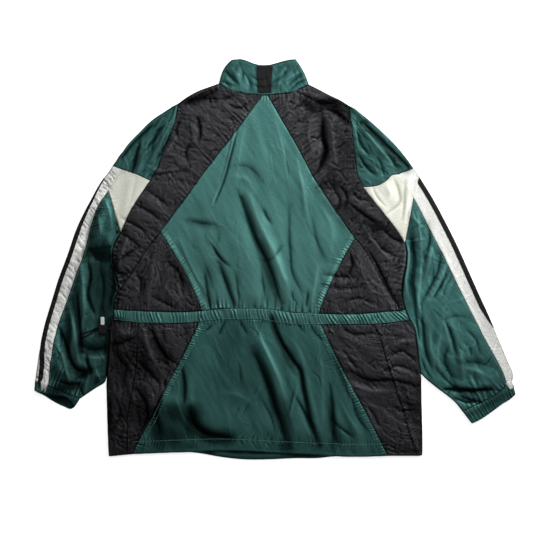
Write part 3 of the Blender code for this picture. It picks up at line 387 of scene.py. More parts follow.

# %% [markdown]
# ## Creases, placed one by one
#
# Each crease is a run of points from one end to the other with its own height (below zero for a
# trough) and its own width on each side. A real fold is steeper on one side than on the other, and
# that is what makes its light edge crisp. The ends die away, so no crease stops dead.

# %% The creases
CREASES = [
    # height, width (on its left and on its right where they differ), run
    # kite
    (-6.5, (9, 14), [(-73, 132), (-60, 93), (-43, 47), (-22, 5), (-6, -34), (13, -94)]),
    (4.4, (11, 12), [(-54, 136), (-36, 85), (-15, 39), (6, -6), (31, -66)]),
    (-3, (7, 12), [(30, 113), (33, 20), (38, -30), (58, -73)]),
    (-1.8, (6, 9), [(80, 87), (94, 29), (110, -4)]),
    (3, (12, 10), [(47, 214), (60, 149), (71, 80)]),
    (-2.2, (10, 16), [(-91, 201), (-60, 200), (-41, 186), (-24, 162)]),
    (1, (10, 8), [(-97, 179), (-60, 171), (-45, 145)]),
    (-2.4, (7, 12), [(-184, 84), (-160, 78), (-134, 75)]),
    (-1.2, (8, 10), [(-130, 72), (-121, 50), (-127, 26)]),
    (-3.4, (4, 7), [(-134, 29), (-122, 8), (-99, -15)]),
    (-2.4, 9, [(-151, -12), (-142, -33), (-134, -61)]),
    (-2.6, (5, 6), [(-24, 106), (-17, 90), (-8, 78)]),
    (1.8, 2.5, [(-84, 287), (-100, 220), (-115, 166), (-135, 117)]),
    (-1.4, (3.5, 3), [(-80, 279), (-96, 218), (-111, 164), (-130, 121)]),
    (-2.6, (6, 8), [(-150, -30), (-146, -71), (-140, -101)]),
    (-3.6, (6, 8), [(-119, -10), (-106, -50), (-88, -98)]),
    (-2.2, (6, 8), [(-84, -33), (-75, -101)]),
    (-2.6, 8, [(-30, -19), (-19, -96)]),
    (-1.2, 6, [(34, -62), (41, -101)]),
    (-2.8, 6, [(71, -71), (67, -105)]),
    (2.6, 8, [(93, -19), (80, -88)]),
    (2.2, 10, [(-205, 41), (-170, -36), (-136, -88)]),
    (1.8, (14, 12), [(0, 300), (17, 235), (32, 149)]),
    (1.8, 12, [(-62, 300), (-75, 235), (-84, 160)]),
    (-0.9, (10, 9), [(54, 160), (60, 95)]),
    (-1.6, (8, 9), [(22, 235), (30, 171)]),
    (1.6, 12, [(99, 117), (123, 63), (119, 7)]),
    (-2.2, 6, [(-19, -6), (-4, 3), (13, 26)]),
    # bands
    (-6, (6, 9), [(-167, 307), (-163, 287), (-162, 261)]),
    (3.6, 8, [(-187, 296), (-179, 274), (-170, 253)]),
    (-4.2, (8, 10), [(-127, 365), (-155, 352), (-192, 337)]),
    (-3.4, (6, 7), [(-91, 352), (-119, 345), (-149, 347)]),
    (-3, (4, 6), [(-101, 335), (-80, 326), (-67, 328)]),
    (2.6, 6, [(-209, 270), (-226, 244), (-241, 223)]),
    (-3.6, (6, 7), [(-205, 300), (-213, 281), (-209, 259)]),
    (-2.8, (5, 6), [(-183, 248), (-192, 229), (-187, 210)]),
    (-6.5, (6, 9), [(103, 298), (101, 262), (108, 236), (99, 206), (84, 180)]),
    (3.8, 8, [(121, 291), (125, 246), (131, 203)]),
    (-5, (8, 9), [(60, 355), (94, 339), (125, 339), (155, 316)]),
    (-3.6, (6, 8), [(93, 326), (129, 317), (162, 291)]),
    (-4, (6, 7), [(142, 343), (155, 326), (159, 304)]),
    (3, 8, [(80, 304), (71, 270), (80, 235)]),
    (-3.4, (6, 7), [(140, 158), (155, 132), (147, 104)]),
    (-3.8, 6, [(163, 117), (187, 98), (213, 80)]),
    (-3, (5, 6), [(127, 149), (140, 123), (131, 98)]),
    (-2.8, 5, [(166, 149), (177, 132), (196, 126)]),
    (-3.4, (6, 7), [(235, 61), (252, 46), (276, 35)]),
    (-2.6, 6, [(215, 41), (233, 20), (261, 7)]),
    (-3, (5, 6), [(-338, -6), (-321, 9), (-300, 22)]),
    (-3, (5, 6), [(-343, 59), (-321, 50), (-295, 29)]),
    (-2.8, 5, [(-330, 89), (-306, 76), (-278, 61)]),
    (-2.8, 5, [(-302, 121), (-278, 106), (-252, 89)]),
    (-2.6, 5, [(-276, 149), (-254, 134), (-231, 115)]),
    (-2.6, 5, [(-351, -19), (-332, -32), (-310, -27)]),
    (2.4, 6, [(-269, 197), (-231, 188), (-205, 192)]),
    (-2.6, 5, [(-265, 179), (-231, 186), (-192, 190)]),
    (2.6, 7, [(-317, 50), (-328, 20), (-338, -19)]),
    (2.4, 7, [(183, 80), (218, 29), (252, -6)]),
    # sides
    (-5.5, (6, 7), [(202, 16), (218, -10), (236, -48), (254, -81), (268, -105)]),
    (-3.6, (8, 9), [(109, -32), (140, -38), (175, -38)]),
    (-2.8, 7, [(101, -55), (140, -62), (187, -60)]),
    (2.6, 8, [(177, 11), (187, -27), (213, -79)]),
    (-3, 6, [(162, 11), (166, -15), (157, -36)]),
    (-2.4, 6, [(147, -92), (179, -84), (209, -94)]),
    (-3.4, 8, [(-300, -25), (-289, -53), (-293, -88)]),
    (2.6, 8, [(-263, -6), (-265, -45), (-276, -88)]),
    (-3.2, 9, [(-231, -6), (-209, -27), (-196, -62)]),
    (-2.6, 7, [(-349, -62), (-338, -84), (-351, -109)]),
    (2.2, 8, [(-241, -53), (-222, -79), (-205, -94)]),
    (-2.4, 6, [(-265, -79), (-241, -92), (-213, -107)]),
    # skirt
    (-6.5, (9, 8), [(-6, -131), (2, -152), (17, -185), (37, -217), (55, -243), (62, -282), (69, -314),
                   (80, -360), (95, -400)]),
    (4.6, 10, [(-43, -135), (-28, -178), (-9, -219), (9, -260), (22, -299)]),
    (-6.5, (11, 13), [(-41, -210), (-23, -250), (-11, -282), (-1, -314), (11, -346), (22, -383),
                      (32, -405)]),
    (-1.2, (3, 5), [(52, -258), (39, -295), (26, -338)]),
    (1.5, 3, [(50, -260), (42, -297), (34, -338)]),
    (-4.4, (7, 8), [(47, -299), (65, -333), (82, -374)]),
    (-4.2, (6, 10), [(119, -270), (124, -318), (127, -395)]),
    (2, (11, 12), [(91, -165), (101, -243), (103, -368)]),
    (-2.6, (7, 6), [(123, -346), (144, -366), (166, -381)]),
    (-6.5, (11, 12), [(-183, -322), (-176, -353), (-158, -373), (-135, -381), (-95, -385)]),
    (-5, (10, 9), [(-248, -299), (-256, -342), (-248, -372)]),
    (3.6, 9, [(-213, -299), (-196, -346), (-170, -383)]),
    (-3.6, (6, 7), [(-199, -237), (-194, -275), (-195, -308)]),
    (-1.2, 5, [(-76, -224), (-72, -269)]),
    (2.6, (14, 16), [(-114, -286), (-71, -295), (-50, -312)]),
    (-2.2, (7, 8), [(-108, -135), (-121, -165)]),
    (-1.8, 6, [(-134, -140), (-151, -157)]),
    (-1.6, 6, [(-75, -135), (-60, -161)]),
    (-1.6, 6, [(47, -135), (62, -157)]),
    (-1.6, (5, 6), [(73, -135), (88, -161), (112, -180)]),
    (-1.6, 6, [(-39, -135), (-34, -170)]),
    (2, 18, [(-136, -196), (-119, -243), (-93, -277)]),
    (-2.2, 7, [(131, -230), (149, -265), (159, -299)]),
    (1.8, 9, [(142, -308), (162, -346), (187, -381)]),
    (-2.4, 8, [(-28, -303), (-9, -338), (2, -377)]),
    # skirt's black pieces
    (-3.8, (7, 8), [(139, -135), (162, -159), (213, -159)]),
    (-3, (6, 7), [(147, -196), (166, -221), (183, -237)]),
    (-4.2, (7, 8), [(162, -242), (204, -261), (256, -261), (312, -275)]),
    (3, 9, [(166, -269), (209, -284), (252, -284)]),
    (-3, 6, [(246, -208), (274, -198), (300, -217)]),
    (3.2, 7, [(256, -185), (282, -176), (308, -180)]),
    (-3.2, (6, 7), [(233, -243), (261, -230), (291, -237)]),
    (-2.8, 7, [(244, -312), (274, -325), (304, -325)]),
    (-2.6, (6, 7), [(185, -308), (209, -329), (226, -364)]),
    (-2.6, 8, [(166, -299), (175, -333), (196, -368)]),
    (4.6, 9, [(-284, -144), (-278, -174), (-269, -204), (-252, -234), (-231, -260)]),
    (-5.6, (9, 8), [(-269, -140), (-254, -180), (-237, -208), (-211, -226)]),
    (-5.6, 12, [(-295, -217), (-276, -239), (-250, -267)]),
    (-3.6, (7, 8), [(-349, -185), (-328, -180), (-304, -168)]),
    (-4.4, (6, 8), [(-297, -280), (-282, -303), (-274, -333), (-284, -364)]),
    (3.4, 9, [(-317, -269), (-304, -303), (-304, -346)]),
    (-3.4, 8, [(-336, -213), (-321, -234), (-325, -260)]),
    (-3.4, (7, 8), [(-241, -286), (-252, -321), (-269, -355)]),
    (-2.8, 8, [(-345, -295), (-334, -329), (-349, -368)]),
    (2.4, 8, [(-338, -152), (-321, -161), (-304, -152)]),
    # left sleeve
    (5, (10, 12), [(-369, 136), (-356, 102), (-351, 63)]),
    (-8, (9, 12), [(-410, 19), (-384, 18), (-362, 20), (-351, 27)]),
    (-7, (13, 9), [(-392, 7), (-373, 1), (-353, 9)]),
    (-6, (7, 9), [(-379, 110), (-394, 80), (-405, 41), (-412, 11)]),
    (3.4, 8, [(-381, 98), (-377, 67), (-375, 50)]),
    (-4.5, (5, 8), [(-401, -10), (-397, -40), (-403, -79), (-390, -114)]),
    (5.2, 9, [(-420, -6), (-414, -45), (-412, -86), (-412, -127), (-422, -161), (-429, -196)]),
    (-4.2, (5, 6), [(-427, -75), (-424, -100), (-421, -135), (-419, -165), (-417, -200)]),
    (-4.5, 10, [(-377, -15), (-369, -66), (-375, -114)]),
    (-3.2, 8, [(-351, -23), (-349, -66), (-358, -101)]),
    (4.2, (6, 7), [(-442, -105), (-433, -150), (-429, -190), (-421, -222)]),
    (3.2, 6, [(-468, -187), (-459, -211), (-450, -241), (-442, -267)]),
    (-2, (4, 5), [(-474, -187), (-460, -213), (-453, -241), (-450, -260)]),
    (-6.5, (7, 8), [(-462, -152), (-449, -190), (-440, -220), (-426, -240), (-400, -241)]),
    (-4.2, (4, 6), [(-406, -206), (-403, -226), (-397, -243)]),
    (-5, 7, [(-429, -258), (-409, -249), (-394, -237)]),
    (-4.6, (14, 10), [(-416, -189), (-388, -196), (-360, -189)]),
    (3.2, 8, [(-420, -208), (-388, -213), (-362, -211)]),
    (-4.6, 7, [(-468, -262), (-448, -269), (-420, -269)]),
    (3.4, 6, [(-403, -245), (-407, -269), (-412, -293)]),
    (-3.4, (5, 6), [(-422, -273), (-416, -288), (-412, -299)]),
    (-2.6, 5, [(-493, -208), (-485, -230), (-489, -252)]),
    (-2.6, (5, 6), [(-470, -144), (-461, -165), (-463, -191)]),
    (2.6, 6, [(-386, -241), (-377, -269), (-384, -277)]),
    # right sleeve
    (-5.6, 9, [(295, 41), (301, -6), (297, -53), (302, -88), (306, -135), (310, -174)]),
    (4.4, 8, [(280, 29), (284, -6), (280, -49), (289, -88)]),
    (4, 7, [(315, -6), (312, -45), (308, -88), (321, -135)]),
    (-3, 7, [(358, 13), (351, -27), (334, -62), (316, -94)]),
    (3.6, 6, [(336, 20), (328, -19), (319, -53)]),
    (-3.4, 5, [(369, -34), (356, -60), (343, -81)]),
    (3, (6, 7), [(371, -6), (356, -45), (334, -88)]),
    (-4.2, (6, 7), [(315, -99), (320, -148), (328, -211), (336, -232)]),
    (-4, (5, 8), [(366, -131), (377, -155), (387, -189), (391, -206)]),
    (3.4, (9, 6), [(362, -129), (371, -161), (381, -196)]),
    (-1.2, 6, [(364, -129), (390, -122), (420, -127)]),
    (-3.6, (9, 10), [(372, -190), (366, -217), (377, -247), (390, -273)]),
    (3.6, 9, [(356, -165), (349, -208), (356, -247)]),
    (3.4, 9, [(399, -200), (403, -234), (407, -260)]),
    (-1.4, 9, [(401, -222), (435, -222), (470, -234)]),
    (2.4, 9, [(409, -234), (440, -243), (461, -256)]),
    (-7, (5, 7), [(368, -280), (401, -283), (425, -284), (466, -281)]),
    (-4, 5, [(401, -296), (422, -303), (442, -308)]),
    (3.4, 3.5, [(420, -252), (435, -288), (444, -303)]),
    (-4, 5, [(388, -299), (412, -308), (440, -308)]),
    (-3.2, 6, [(347, -234), (369, -260), (394, -282)]),
    (2.6, 7, [(334, -152), (336, -196), (343, -230)]),
    (-2.6, 5, [(317, -213), (325, -239), (338, -256)]),
    (-3, 7, [(321, -6), (334, 41), (330, 80)]),
    (2.6, 7, [(306, 98), (312, 50), (315, 11)]),
    (-2.2, 6, [(412, -152), (433, -174), (442, -204)]),
    # caps
    (-5.6, (6, 8), [(-293, 246), (-300, 220), (-308, 186)]),
    (3.6, 8, [(-278, 235), (-287, 210), (-295, 184)]),
    (-4.2, (6, 8), [(-265, 287), (-297, 261), (-330, 220)]),
    (3, 7, [(-231, 283), (-248, 244), (-265, 214)]),
    (-3, 6, [(-248, 283), (-265, 251), (-282, 235)]),
    (-2.4, 5, [(-222, 283), (-233, 253), (-252, 218)]),
    (-6, (5, 7), [(190, 294), (223, 262), (249, 237), (287, 198)]),
    (3.6, 8, [(187, 283), (218, 244), (252, 205)]),
    (-3, 5, [(178, 266), (187, 244), (200, 227)]),
    (-3.2, (5, 6), [(181, 223), (196, 199), (215, 182)]),
    (-3.6, 6, [(239, 235), (250, 216), (263, 197)]),
    (2.6, 7, [(164, 300), (175, 266), (179, 235)]),
    (-2.2, (5, 6), [(222, 218), (231, 197), (235, 179)]),
    # gussets
    (0.8, 8, [(-309, 179), (-320, 128), (-331, 80)]),
    (-0.9, 6, [(-298, 176), (-307, 136), (-318, 98)]),
    (-3.2, (6, 7), [(258, 169), (267, 145), (269, 126), (241, 98)]),
    (2.4, 7, [(239, 162), (248, 136), (235, 115)]),
    (-2, 5, [(280, 171), (278, 128), (274, 85)]),
    (2, 6, [(289, 166), (284, 123), (278, 80)]),
    (-1.8, 4, [(209, 158), (218, 136), (235, 115)]),
    # collar
    (-2.8, (5, 6), [(-106, 406), (-95, 393), (-80, 378)]),
    (1.9, 6, [(-91, 408), (-80, 393), (-73, 376)]),
    (-1.7, 4, [(-116, 386), (-101, 378), (-84, 373)]),
    (-2, (4, 5), [(-67, 404), (-56, 386), (-50, 365)]),
    (1.4, 5, [(22, 416), (13, 391), (4, 365)]),
    (-2, 4, [(26, 406), (9, 388), (-4, 382)]),
    (-1.9, (4, 5), [(58, 399), (43, 386), (30, 373)]),
    (-1.7, 4, [(65, 386), (47, 378), (34, 365)]),
    (1.4, 5, [(50, 404), (37, 395), (24, 386)]),
    (-1.7, 4, [(-54, 397), (-34, 386), (-15, 391)]),
    (-1.5, 4, [(-50, 378), (-28, 369), (-6, 373)]),
    (-1.3, 4, [(-75, 421), (-69, 399), (-73, 378)]),
]


def add_crease(field, rise, width, run):
    """rise * taper(along) * exp(-|d / width|^1.25), with one width or one for each side. The low
    power gives the crease a sharp line instead of a round top."""
    left, right = np.broadcast_to(width, 2)
    window, gap, along, total = near(smooth(run, 5), 3.2 * max(left, right))
    width = np.where(gap > 0, left, right)
    taper = np.sin(np.pi * np.clip(0.1 + 0.8 * along / total, 0, 1)) ** 0.8
    near_edge = np.clip(from_edge[window] / (0.8 * width), 0, 1)
    field[window] += rise * taper * near_edge * np.exp(-(np.abs(gap / width) ** 1.25))


CREASE_GAIN = 0.95
for rise, width, run in CREASES:
    add_crease(height, CREASE_GAIN * rise, width, run)
print(len(CREASES), "creases")

# %% [markdown]
# ## Gathers along the seams
#
# Thin nylon puckers wherever a needle went through it: short wrinkles stand across the seam, a few
# millimetres apart and never alike. Across the seam they die away; along it they follow a wave
# made from random numbers with the spacing filtered out. The elastic at the waist and the cuffs
# does the same, only harder and further.

# %% Seam puckers
def uneven_wave(seed, count, spacing):
    """Random numbers, one a mm, kept only near the wanted wavelength, with a spread of one."""
    noise = np.random.default_rng(seed).standard_normal(count)
    f = np.fft.rfftfreq(count)
    keep = np.exp(-(((f - 1 / spacing) * spacing / 0.42) ** 2))
    wave = np.fft.irfft(np.fft.rfft(noise) * keep, n=count)
    return wave / wave.std()


def wave_at(place, seed, count, spacing):
    """The value of an uneven wave at these places, which are in mm from its start."""
    return np.interp(place, np.arange(count), uneven_wave(seed, count, spacing))


def pillows(wave):
    """1.25 |wave| - 0.9: round pillows with a sharp valley between them, two to a wave."""
    return 1.25 * np.abs(wave) - 0.9


NEEDLE_FLAT = 1.6
SEAM_END = 12
FLAT_EDGE = 4.0


def add_puckers(field, run, seed, spacing, reach, depth, skew=0.0, sides=(1.0, 1.0)):
    """depth * pillows(wave(s + skew d)) * exp(-|d| / reach(s)), with a reach that itself wanders
    along the seam; sides scales it on the left and on the right of the run."""
    window, gap, along, total = near(run, 3.2 * reach)
    count = int(total) + int(8 * reach) + 20
    place = along + skew * np.abs(gap) + 4 * reach
    local = reach * np.exp(0.55 * wave_at(place, seed + 1, count, 5 * spacing))
    share = np.where(gap > 0, sides[0], sides[1])
    # the needle side stays flat for a moment, so the wave starts just off the seam
    start = 1 - np.exp(-((gap / NEEDLE_FLAT) ** 2))
    ends = np.clip(np.minimum(along, total - along) / SEAM_END + 0.35, 0, 1)
    fade = np.clip(from_edge[window] / FLAT_EDGE, 0, 1)
    pillow = pillows(wave_at(place, seed, count, 2 * spacing))
    field[window] += depth * share * start * ends * fade * pillow * np.exp(-np.abs(gap) / local)


SEAMS = [
    # lines, spacing, reach, depth, skew, (left of the run, right of the run)
    ("kite_left_upper", 8.0, 15.0, 0.80, 0.15, (0.12, 1.0)),
    ("kite_right_upper", 8.0, 15.0, 0.70, 0.15, (1.0, 0.12)),
    ("kite_left_lower", 6.5, 6.5, 0.80, 0.2, (1.0, 0.45)),
    ("kite_right_lower", 6.5, 6.5, 0.80, -0.2, (0.45, 1.0)),
    ("band_seam_left", 9.0, 11.0, 0.85, 0.2, (0.35, 1.0)),
    ("band_seam_right", 9.0, 9.0, 0.50, 0.2, (1.0, 0.5)),
    ("armhole_left", 7.5, 9.0, 0.70, 0.1, (1.0, 0.25)),
    ("armhole_right", 7.5, 9.0, 0.60, 0.1, (0.2, 1.0)),
    ("underarm_left", 9.0, 9.0, 0.50, 0.2, (1.0, 0.1)),
    ("underarm_right", 9.0, 9.0, 0.35, 0.2, (0.1, 1.0)),
    ("side_left side_left_low", 11.0, 16.0, 0.85, 0.1, (1.0, 0.1)),
    ("side_right", 11.0, 14.0, 0.60, 0.1, (0.1, 1.0)),
    ("skirt_seam_left", 6.0, 7.0, 0.85, 0.2, (1.0, 0.3)),
    ("skirt_seam_right", 6.0, 7.0, 0.85, 0.2, (0.3, 1.0)),
    ("outer_seam_left", 10.0, 10.0, 0.60, 0.3, (1.0, 0.7)),
    ("outer_seam_right", 8.0, 6.0, 0.90, 0.5, (0.7, 1.0)),
    ("waist_top_side_left waist_top_kite waist_top_side_right", 6.5, 7.0, 1.10, 0.0, (1.0, 0.0)),
    ("waist_top_kite", 16.0, 13.0, 1.00, 0.0, (1.0, 0.0)),
    ("waist_low_outer_left waist_low_side_left", 8.0, 9.0, 0.90, 0.0, (0.0, 1.0)),
    ("waist_low_centre", 7.0, 5.0, 0.70, 0.0, (0.0, 1.0)),
    ("waist_low_side_right waist_low_outer_right", 9.0, 10.0, 0.90, 0.3, (0.0, 1.0)),
    ("knee_left", 5.0, 8.0, 1.50, 0.6, (1.0, 0.45)),
    ("knee_right", 6.5, 6.5, 0.40, -0.5, (0.6, 1.0)),
    ("outer_left", 9.0, 7.0, 0.35, 0.6, (1.0, 0.0)),
    ("outer_right", 10.0, 12.0, 0.30, -1.1, (0.0, 1.0)),
    ("neck_left neck_mid neck_right", 7.0, 8.0, 0.50, 0.0, (0.8, 1.0)),
    ("cuff_seam_left", 8.0, 16.0, 1.20, 0.0, (1.0, 0.0)),
    ("cuff_seam_right", 8.0, 16.0, 1.20, 0.0, (1.0, 0.0)),
    ("gusset_edge_left", 7.0, 6.0, 0.30, 0.0, (1.0, 0.4)),
    ("gusset_edge_right", 7.0, 6.0, 0.25, 0.0, (0.4, 1.0)),
    ("shoulder_left", 9.0, 10.0, 0.40, 0.0, (1.0, 1.0)),
    ("shoulder_right", 9.0, 10.0, 0.40, 0.0, (1.0, 1.0)),
]
for k, (names, spacing, reach, depth, skew, sides) in enumerate(SEAMS):
    add_puckers(height, rail(names), 100 + 7 * k, spacing, reach, depth, skew, sides)
print(len(SEAMS), "puckered seams")

HEM = 26.0
HEM_SEAMS = [
    # lines, spacing, reach, depth
    ("hem_centre", 6.5, 8.0, 0.75),
    ("hem_outer_left hem_side_left", 8.0, 9.0, 0.8),
    ("hem_side_right hem_outer_right", 9.0, 7.0, 0.5),
]
for k, (names, spacing, reach, depth) in enumerate(HEM_SEAMS):
    add_puckers(height, beside(rail(names), HEM), 700 + 7 * k, spacing, reach, depth, 0.25)
print(len(HEM_SEAMS), "hems")

# %% [markdown]
# ## Streaks and crumples
#
# Between the named creases the cloth is never quite flat. Long faint streaks follow the pull from
# the shoulders to the waist, and the black pieces, which were sewn shorter, are crumpled all over.
# Both are blurred noise; the crumples take the noise's absolute value, which turns its zero lines
# into sharp valleys.

# %% Streaks and crumples by piece
KITE = "neck_mid kite_right_upper kite_right_lower -waist_top_kite -kite_left_lower -kite_left_upper"
BAND_LEFT = "neck_left kite_left_upper band_seam_left -side_left -underarm_left -armhole_left -shoulder_left"
BAND_RIGHT = (
    "neck_right shoulder_right armhole_right underarm_right side_right -waist_top_band_right "
    "-band_seam_right -kite_right_upper")
SIDE_LEFT = "band_seam_left side_left_low waist_top_side_left -kite_left_lower"
SIDE_RIGHT = "band_seam_right -waist_top_side_right -kite_right_lower"
SKIRT = "waist_low_centre skirt_seam_right -hem_centre -skirt_seam_left"
SKIRT_LEFT = (
    "waist_low_outer_left waist_low_side_left skirt_seam_left -hem_side_left -hem_outer_left "
    "-skirt_edge_left_low -skirt_edge_left")
SKIRT_RIGHT = (
    "waist_low_side_right waist_low_outer_right skirt_edge_right skirt_edge_right_low -hem_outer_right "
    "-hem_side_right -skirt_seam_right")
# where the body lies over the sleeve, down to the cuff
BODY_LEFT = "side_left side_left_low casing_end_left skirt_edge_left forearm_left"
BODY_RIGHT = "side_right casing_end_right skirt_edge_right forearm_right"
SLEEVE_LEFT = "gusset_edge_left " + BODY_LEFT + " -cuff_seam_left -knee_left"
SLEEVE_RIGHT = "gusset_edge_right " + BODY_RIGHT + " cuff_seam_right -knee_right"
STRIPE_LEFT = "outer_left cuff_stripe_left -knee_left -stripe_top_left -cap_stripe_left"
CAP_LEFT = "cap_outer_left cap_stripe_left cap_gusset_left -armhole_left"
CAP_RIGHT = "armhole_right cap_gusset_right cap_stripe_right -cap_outer_right"
STREAKS = [
    # lines of the piece, direction of the pull, streak height, crumple height, crumple size
    (KITE, 106, 0.24, 0.10, 18),
    (BAND_LEFT, 146, 0.45, 0.14, 7),
    (BAND_RIGHT, 40, 0.45, 0.14, 7),
    (SIDE_LEFT, 80, 0.45, 0.12, 8),
    (SIDE_RIGHT, 100, 0.45, 0.12, 8),
    (SKIRT, 104, 0.30, 0.12, 18),
    (SKIRT_LEFT, 96, 0.55, 0.12, 8),
    (SKIRT_RIGHT, 150, 0.55, 0.12, 8),
    (SLEEVE_LEFT, 70, 0.40, 0.30, 20),
    (SLEEVE_RIGHT, 114, 0.40, 0.30, 20),
    (STRIPE_LEFT, -50, 0.25, 0.30, 9),
    (CAP_LEFT, 60, 0.50, 0.30, 14),
    (CAP_RIGHT, -45, 0.50, 0.30, 14),
]
CALM_EDGE = 8
for k, (names, turn, streak, crumple, size) in enumerate(STREAKS):
    inside = region(names) * np.clip(from_edge / CALM_EDGE, 0, 1)
    height += inside * streak * grain(300 + k, 46, 7, turn)
    height += inside * 0.35 * streak * grain(320 + k, 16, 3.2, turn + 14)
    folded = np.abs(grain(340 + k, size, size * 0.6, turn)) - 0.8
    height += inside * crumple * blurred(folded, 1.2)
    folded = np.abs(grain(360 + k, 0.5 * size, 0.3 * size, turn + 30)) - 0.8
    height += inside * 0.4 * crumple * blurred(folded, 0.8)
print("cloth height from", round(height.min(), 1), "to", round(height.max(), 1), "mm")

# %% [markdown]
# Nylon that has been folded up in a drawer keeps small sharp wrinkles as well. They are too many
# to place one by one, so each piece gets a number of short creases at random places, in the
# direction in which that piece was crushed, give or take some degrees.

# %% Small wrinkles
WRINKLES = [
    # lines of the piece, how many, share of troughs, direction, spread of it, mean length, height
    (KITE, 36, 0.25, 102, 20, 40, 0.30),
    (BAND_LEFT, 300, 0.45, 150, 28, 16, 0.75),
    (BAND_RIGHT, 300, 0.45, 35, 32, 16, 0.75),
    (SIDE_LEFT, 110, 0.45, 70, 45, 18, 0.7),
    (SIDE_RIGHT, 90, 0.45, 120, 45, 18, 0.7),
    (SKIRT, 60, 0.3, 102, 26, 36, 0.42),
    (SKIRT_LEFT, 170, 0.45, 120, 40, 20, 0.8),
    (SKIRT_RIGHT, 190, 0.45, 140, 32, 20, 0.75),
    (SLEEVE_LEFT, 60, 0.35, 75, 40, 26, 0.6),
    (SLEEVE_RIGHT, 80, 0.3, 105, 35, 28, 0.55),
    (STRIPE_LEFT, 130, 0.8, -50, 18, 14, 0.8),
    (CAP_LEFT, 40, 0.4, 58, 25, 24, 0.6),
    (CAP_RIGHT, 50, 0.4, -48, 25, 24, 0.6),
]
WRINKLE_EDGE = 5
for k, (names, count, troughs, turn, spread_of_turn, mean_length, rise) in enumerate(WRINKLES):
    random = np.random.default_rng(500 + k)
    cells = np.flatnonzero((region(names) > 0.8) & (from_edge > WRINKLE_EDGE))
    for cell in random.choice(cells, count):
        middle = np.array([GX.flat[cell], GY.flat[cell]])
        way = math.radians(turn + spread_of_turn * random.standard_normal())
        half = 0.5 * mean_length * math.exp(0.4 * random.standard_normal())
        half = half * np.array([math.cos(way), math.sin(way)])
        bow = random.normal(0, 0.25) * np.array([-half[1], half[0]])
        width = random.uniform(1.1, 2.4, 2)
        up = rise * random.choice([-1.2, 1.0], p=[troughs, 1 - troughs]) * random.uniform(0.4, 1.3)
        add_crease(height, up, width, [middle - half, middle + bow, middle + half])
print(sum(row[1] for row in WRINKLES), "small wrinkles")

# %% [markdown]
# ## Seam lines, with painted shade and painted highlight
#
# Two more maps help the finish. One marks the millimetres on each side of every seam, where the
# cloth turns into the seam's groove: there the material paints shade. The other says how far each
# place stands out over its surroundings: satin in light is lighter on its ridges and darker in its
# troughs, where light has to bounce from green to green before it comes out, and the material
# paints that in, as painted shade in the troughs and painted highlight on the ridges.

# %% Groove at every seam, and the crest map
UNSEWN = {"outer_left", "outer_right", "shoulder_left", "shoulder_right", "side_left",
          "side_left_low", "side_right", "waist_top_kite", "waist_low_centre"}
SEWN = sorted(set(name for names, *_ in SEAMS for name in names.split()) - UNSEWN
              | {"cap_gusset_left", "cap_gusset_right", "cap_stripe_left", "cap_stripe_right"})
SHARPEN = 0.7
SEAM_DEPTH = 0.7
SEAM_WIDTH = 1.6
SEAM_REACH = 12
# folds and fine lines: the blur in mm that takes them away, and the height in mm that counts as one
FOLD_BLUR, FOLD_HEIGHT = 12.0, 2.0
LINE_BLUR, LINE_HEIGHT = 3.0, 0.7
CREST_GAIN = 0.34
STITCH_PITCH = 4.6
BANDS = {
    # piece: (lines of the seam, which side of it is the band on: 1 left, -1 right)
    "back_kite": [("kite_left_lower", 1), ("kite_right_lower", -1)],
    "skirt_centre": [("skirt_seam_left", 1), ("skirt_seam_right", -1)],
    "skirt_outer_right": [("outer_seam_right", 1)],
}
BAND_ROWS = (2.2, 10.2)
BAND_WIDTH = 12.5
BAND_PILLOW = 11.0
STITCH_DENT = 1.3
band_relief = np.zeros(GX.shape)
for k, (names, side) in enumerate(row for rows in BANDS.values() for row in rows):
    window, gap, along, total = near(rail(names), BAND_WIDTH + 4)
    gap = gap * side
    held = sum(np.exp(-(((gap - row) / STITCH_DENT) ** 2)) for row in BAND_ROWS)
    count = int(total) + 60
    pillow = pillows(wave_at(along + 0.25 * gap + 20, 600 + k, count, BAND_PILLOW))
    beat = 0.5 - 0.5 * np.cos(2 * np.pi * along / STITCH_PITCH)
    swell = np.sqrt(np.sin(np.pi * np.clip(gap / BAND_WIDTH, 0, 1)))
    pressed = 0.55 * held * (gap > 0) * (0.55 + 0.45 * beat)
    band_relief[window] += swell * (0.6 + 0.45 * pillow) - pressed

from_seam = nearest(SEWN, SEAM_REACH, 99.0)
sharper = SHARPEN * (height - blurred(height, LINE_BLUR))
height += np.clip(from_edge / 5, 0, 1) * sharper
height -= SEAM_DEPTH * np.exp(-((from_seam / SEAM_WIDTH) ** 2))
height = np.maximum(height, FOLD_ROUND)

# the crest map: where the cloth's colour gets painted shade (troughs) and painted highlight (ridges)
shown = height + band_relief
folds = (shown - blurred(shown, FOLD_BLUR)) / FOLD_HEIGHT
crest = np.clip(0.5 + CREST_GAIN * (folds + (shown - blurred(shown, LINE_BLUR)) / LINE_HEIGHT), 0, 1)
print(len(SEWN), "sewn lines; crest map mean", round(float(crest.mean()), 2))
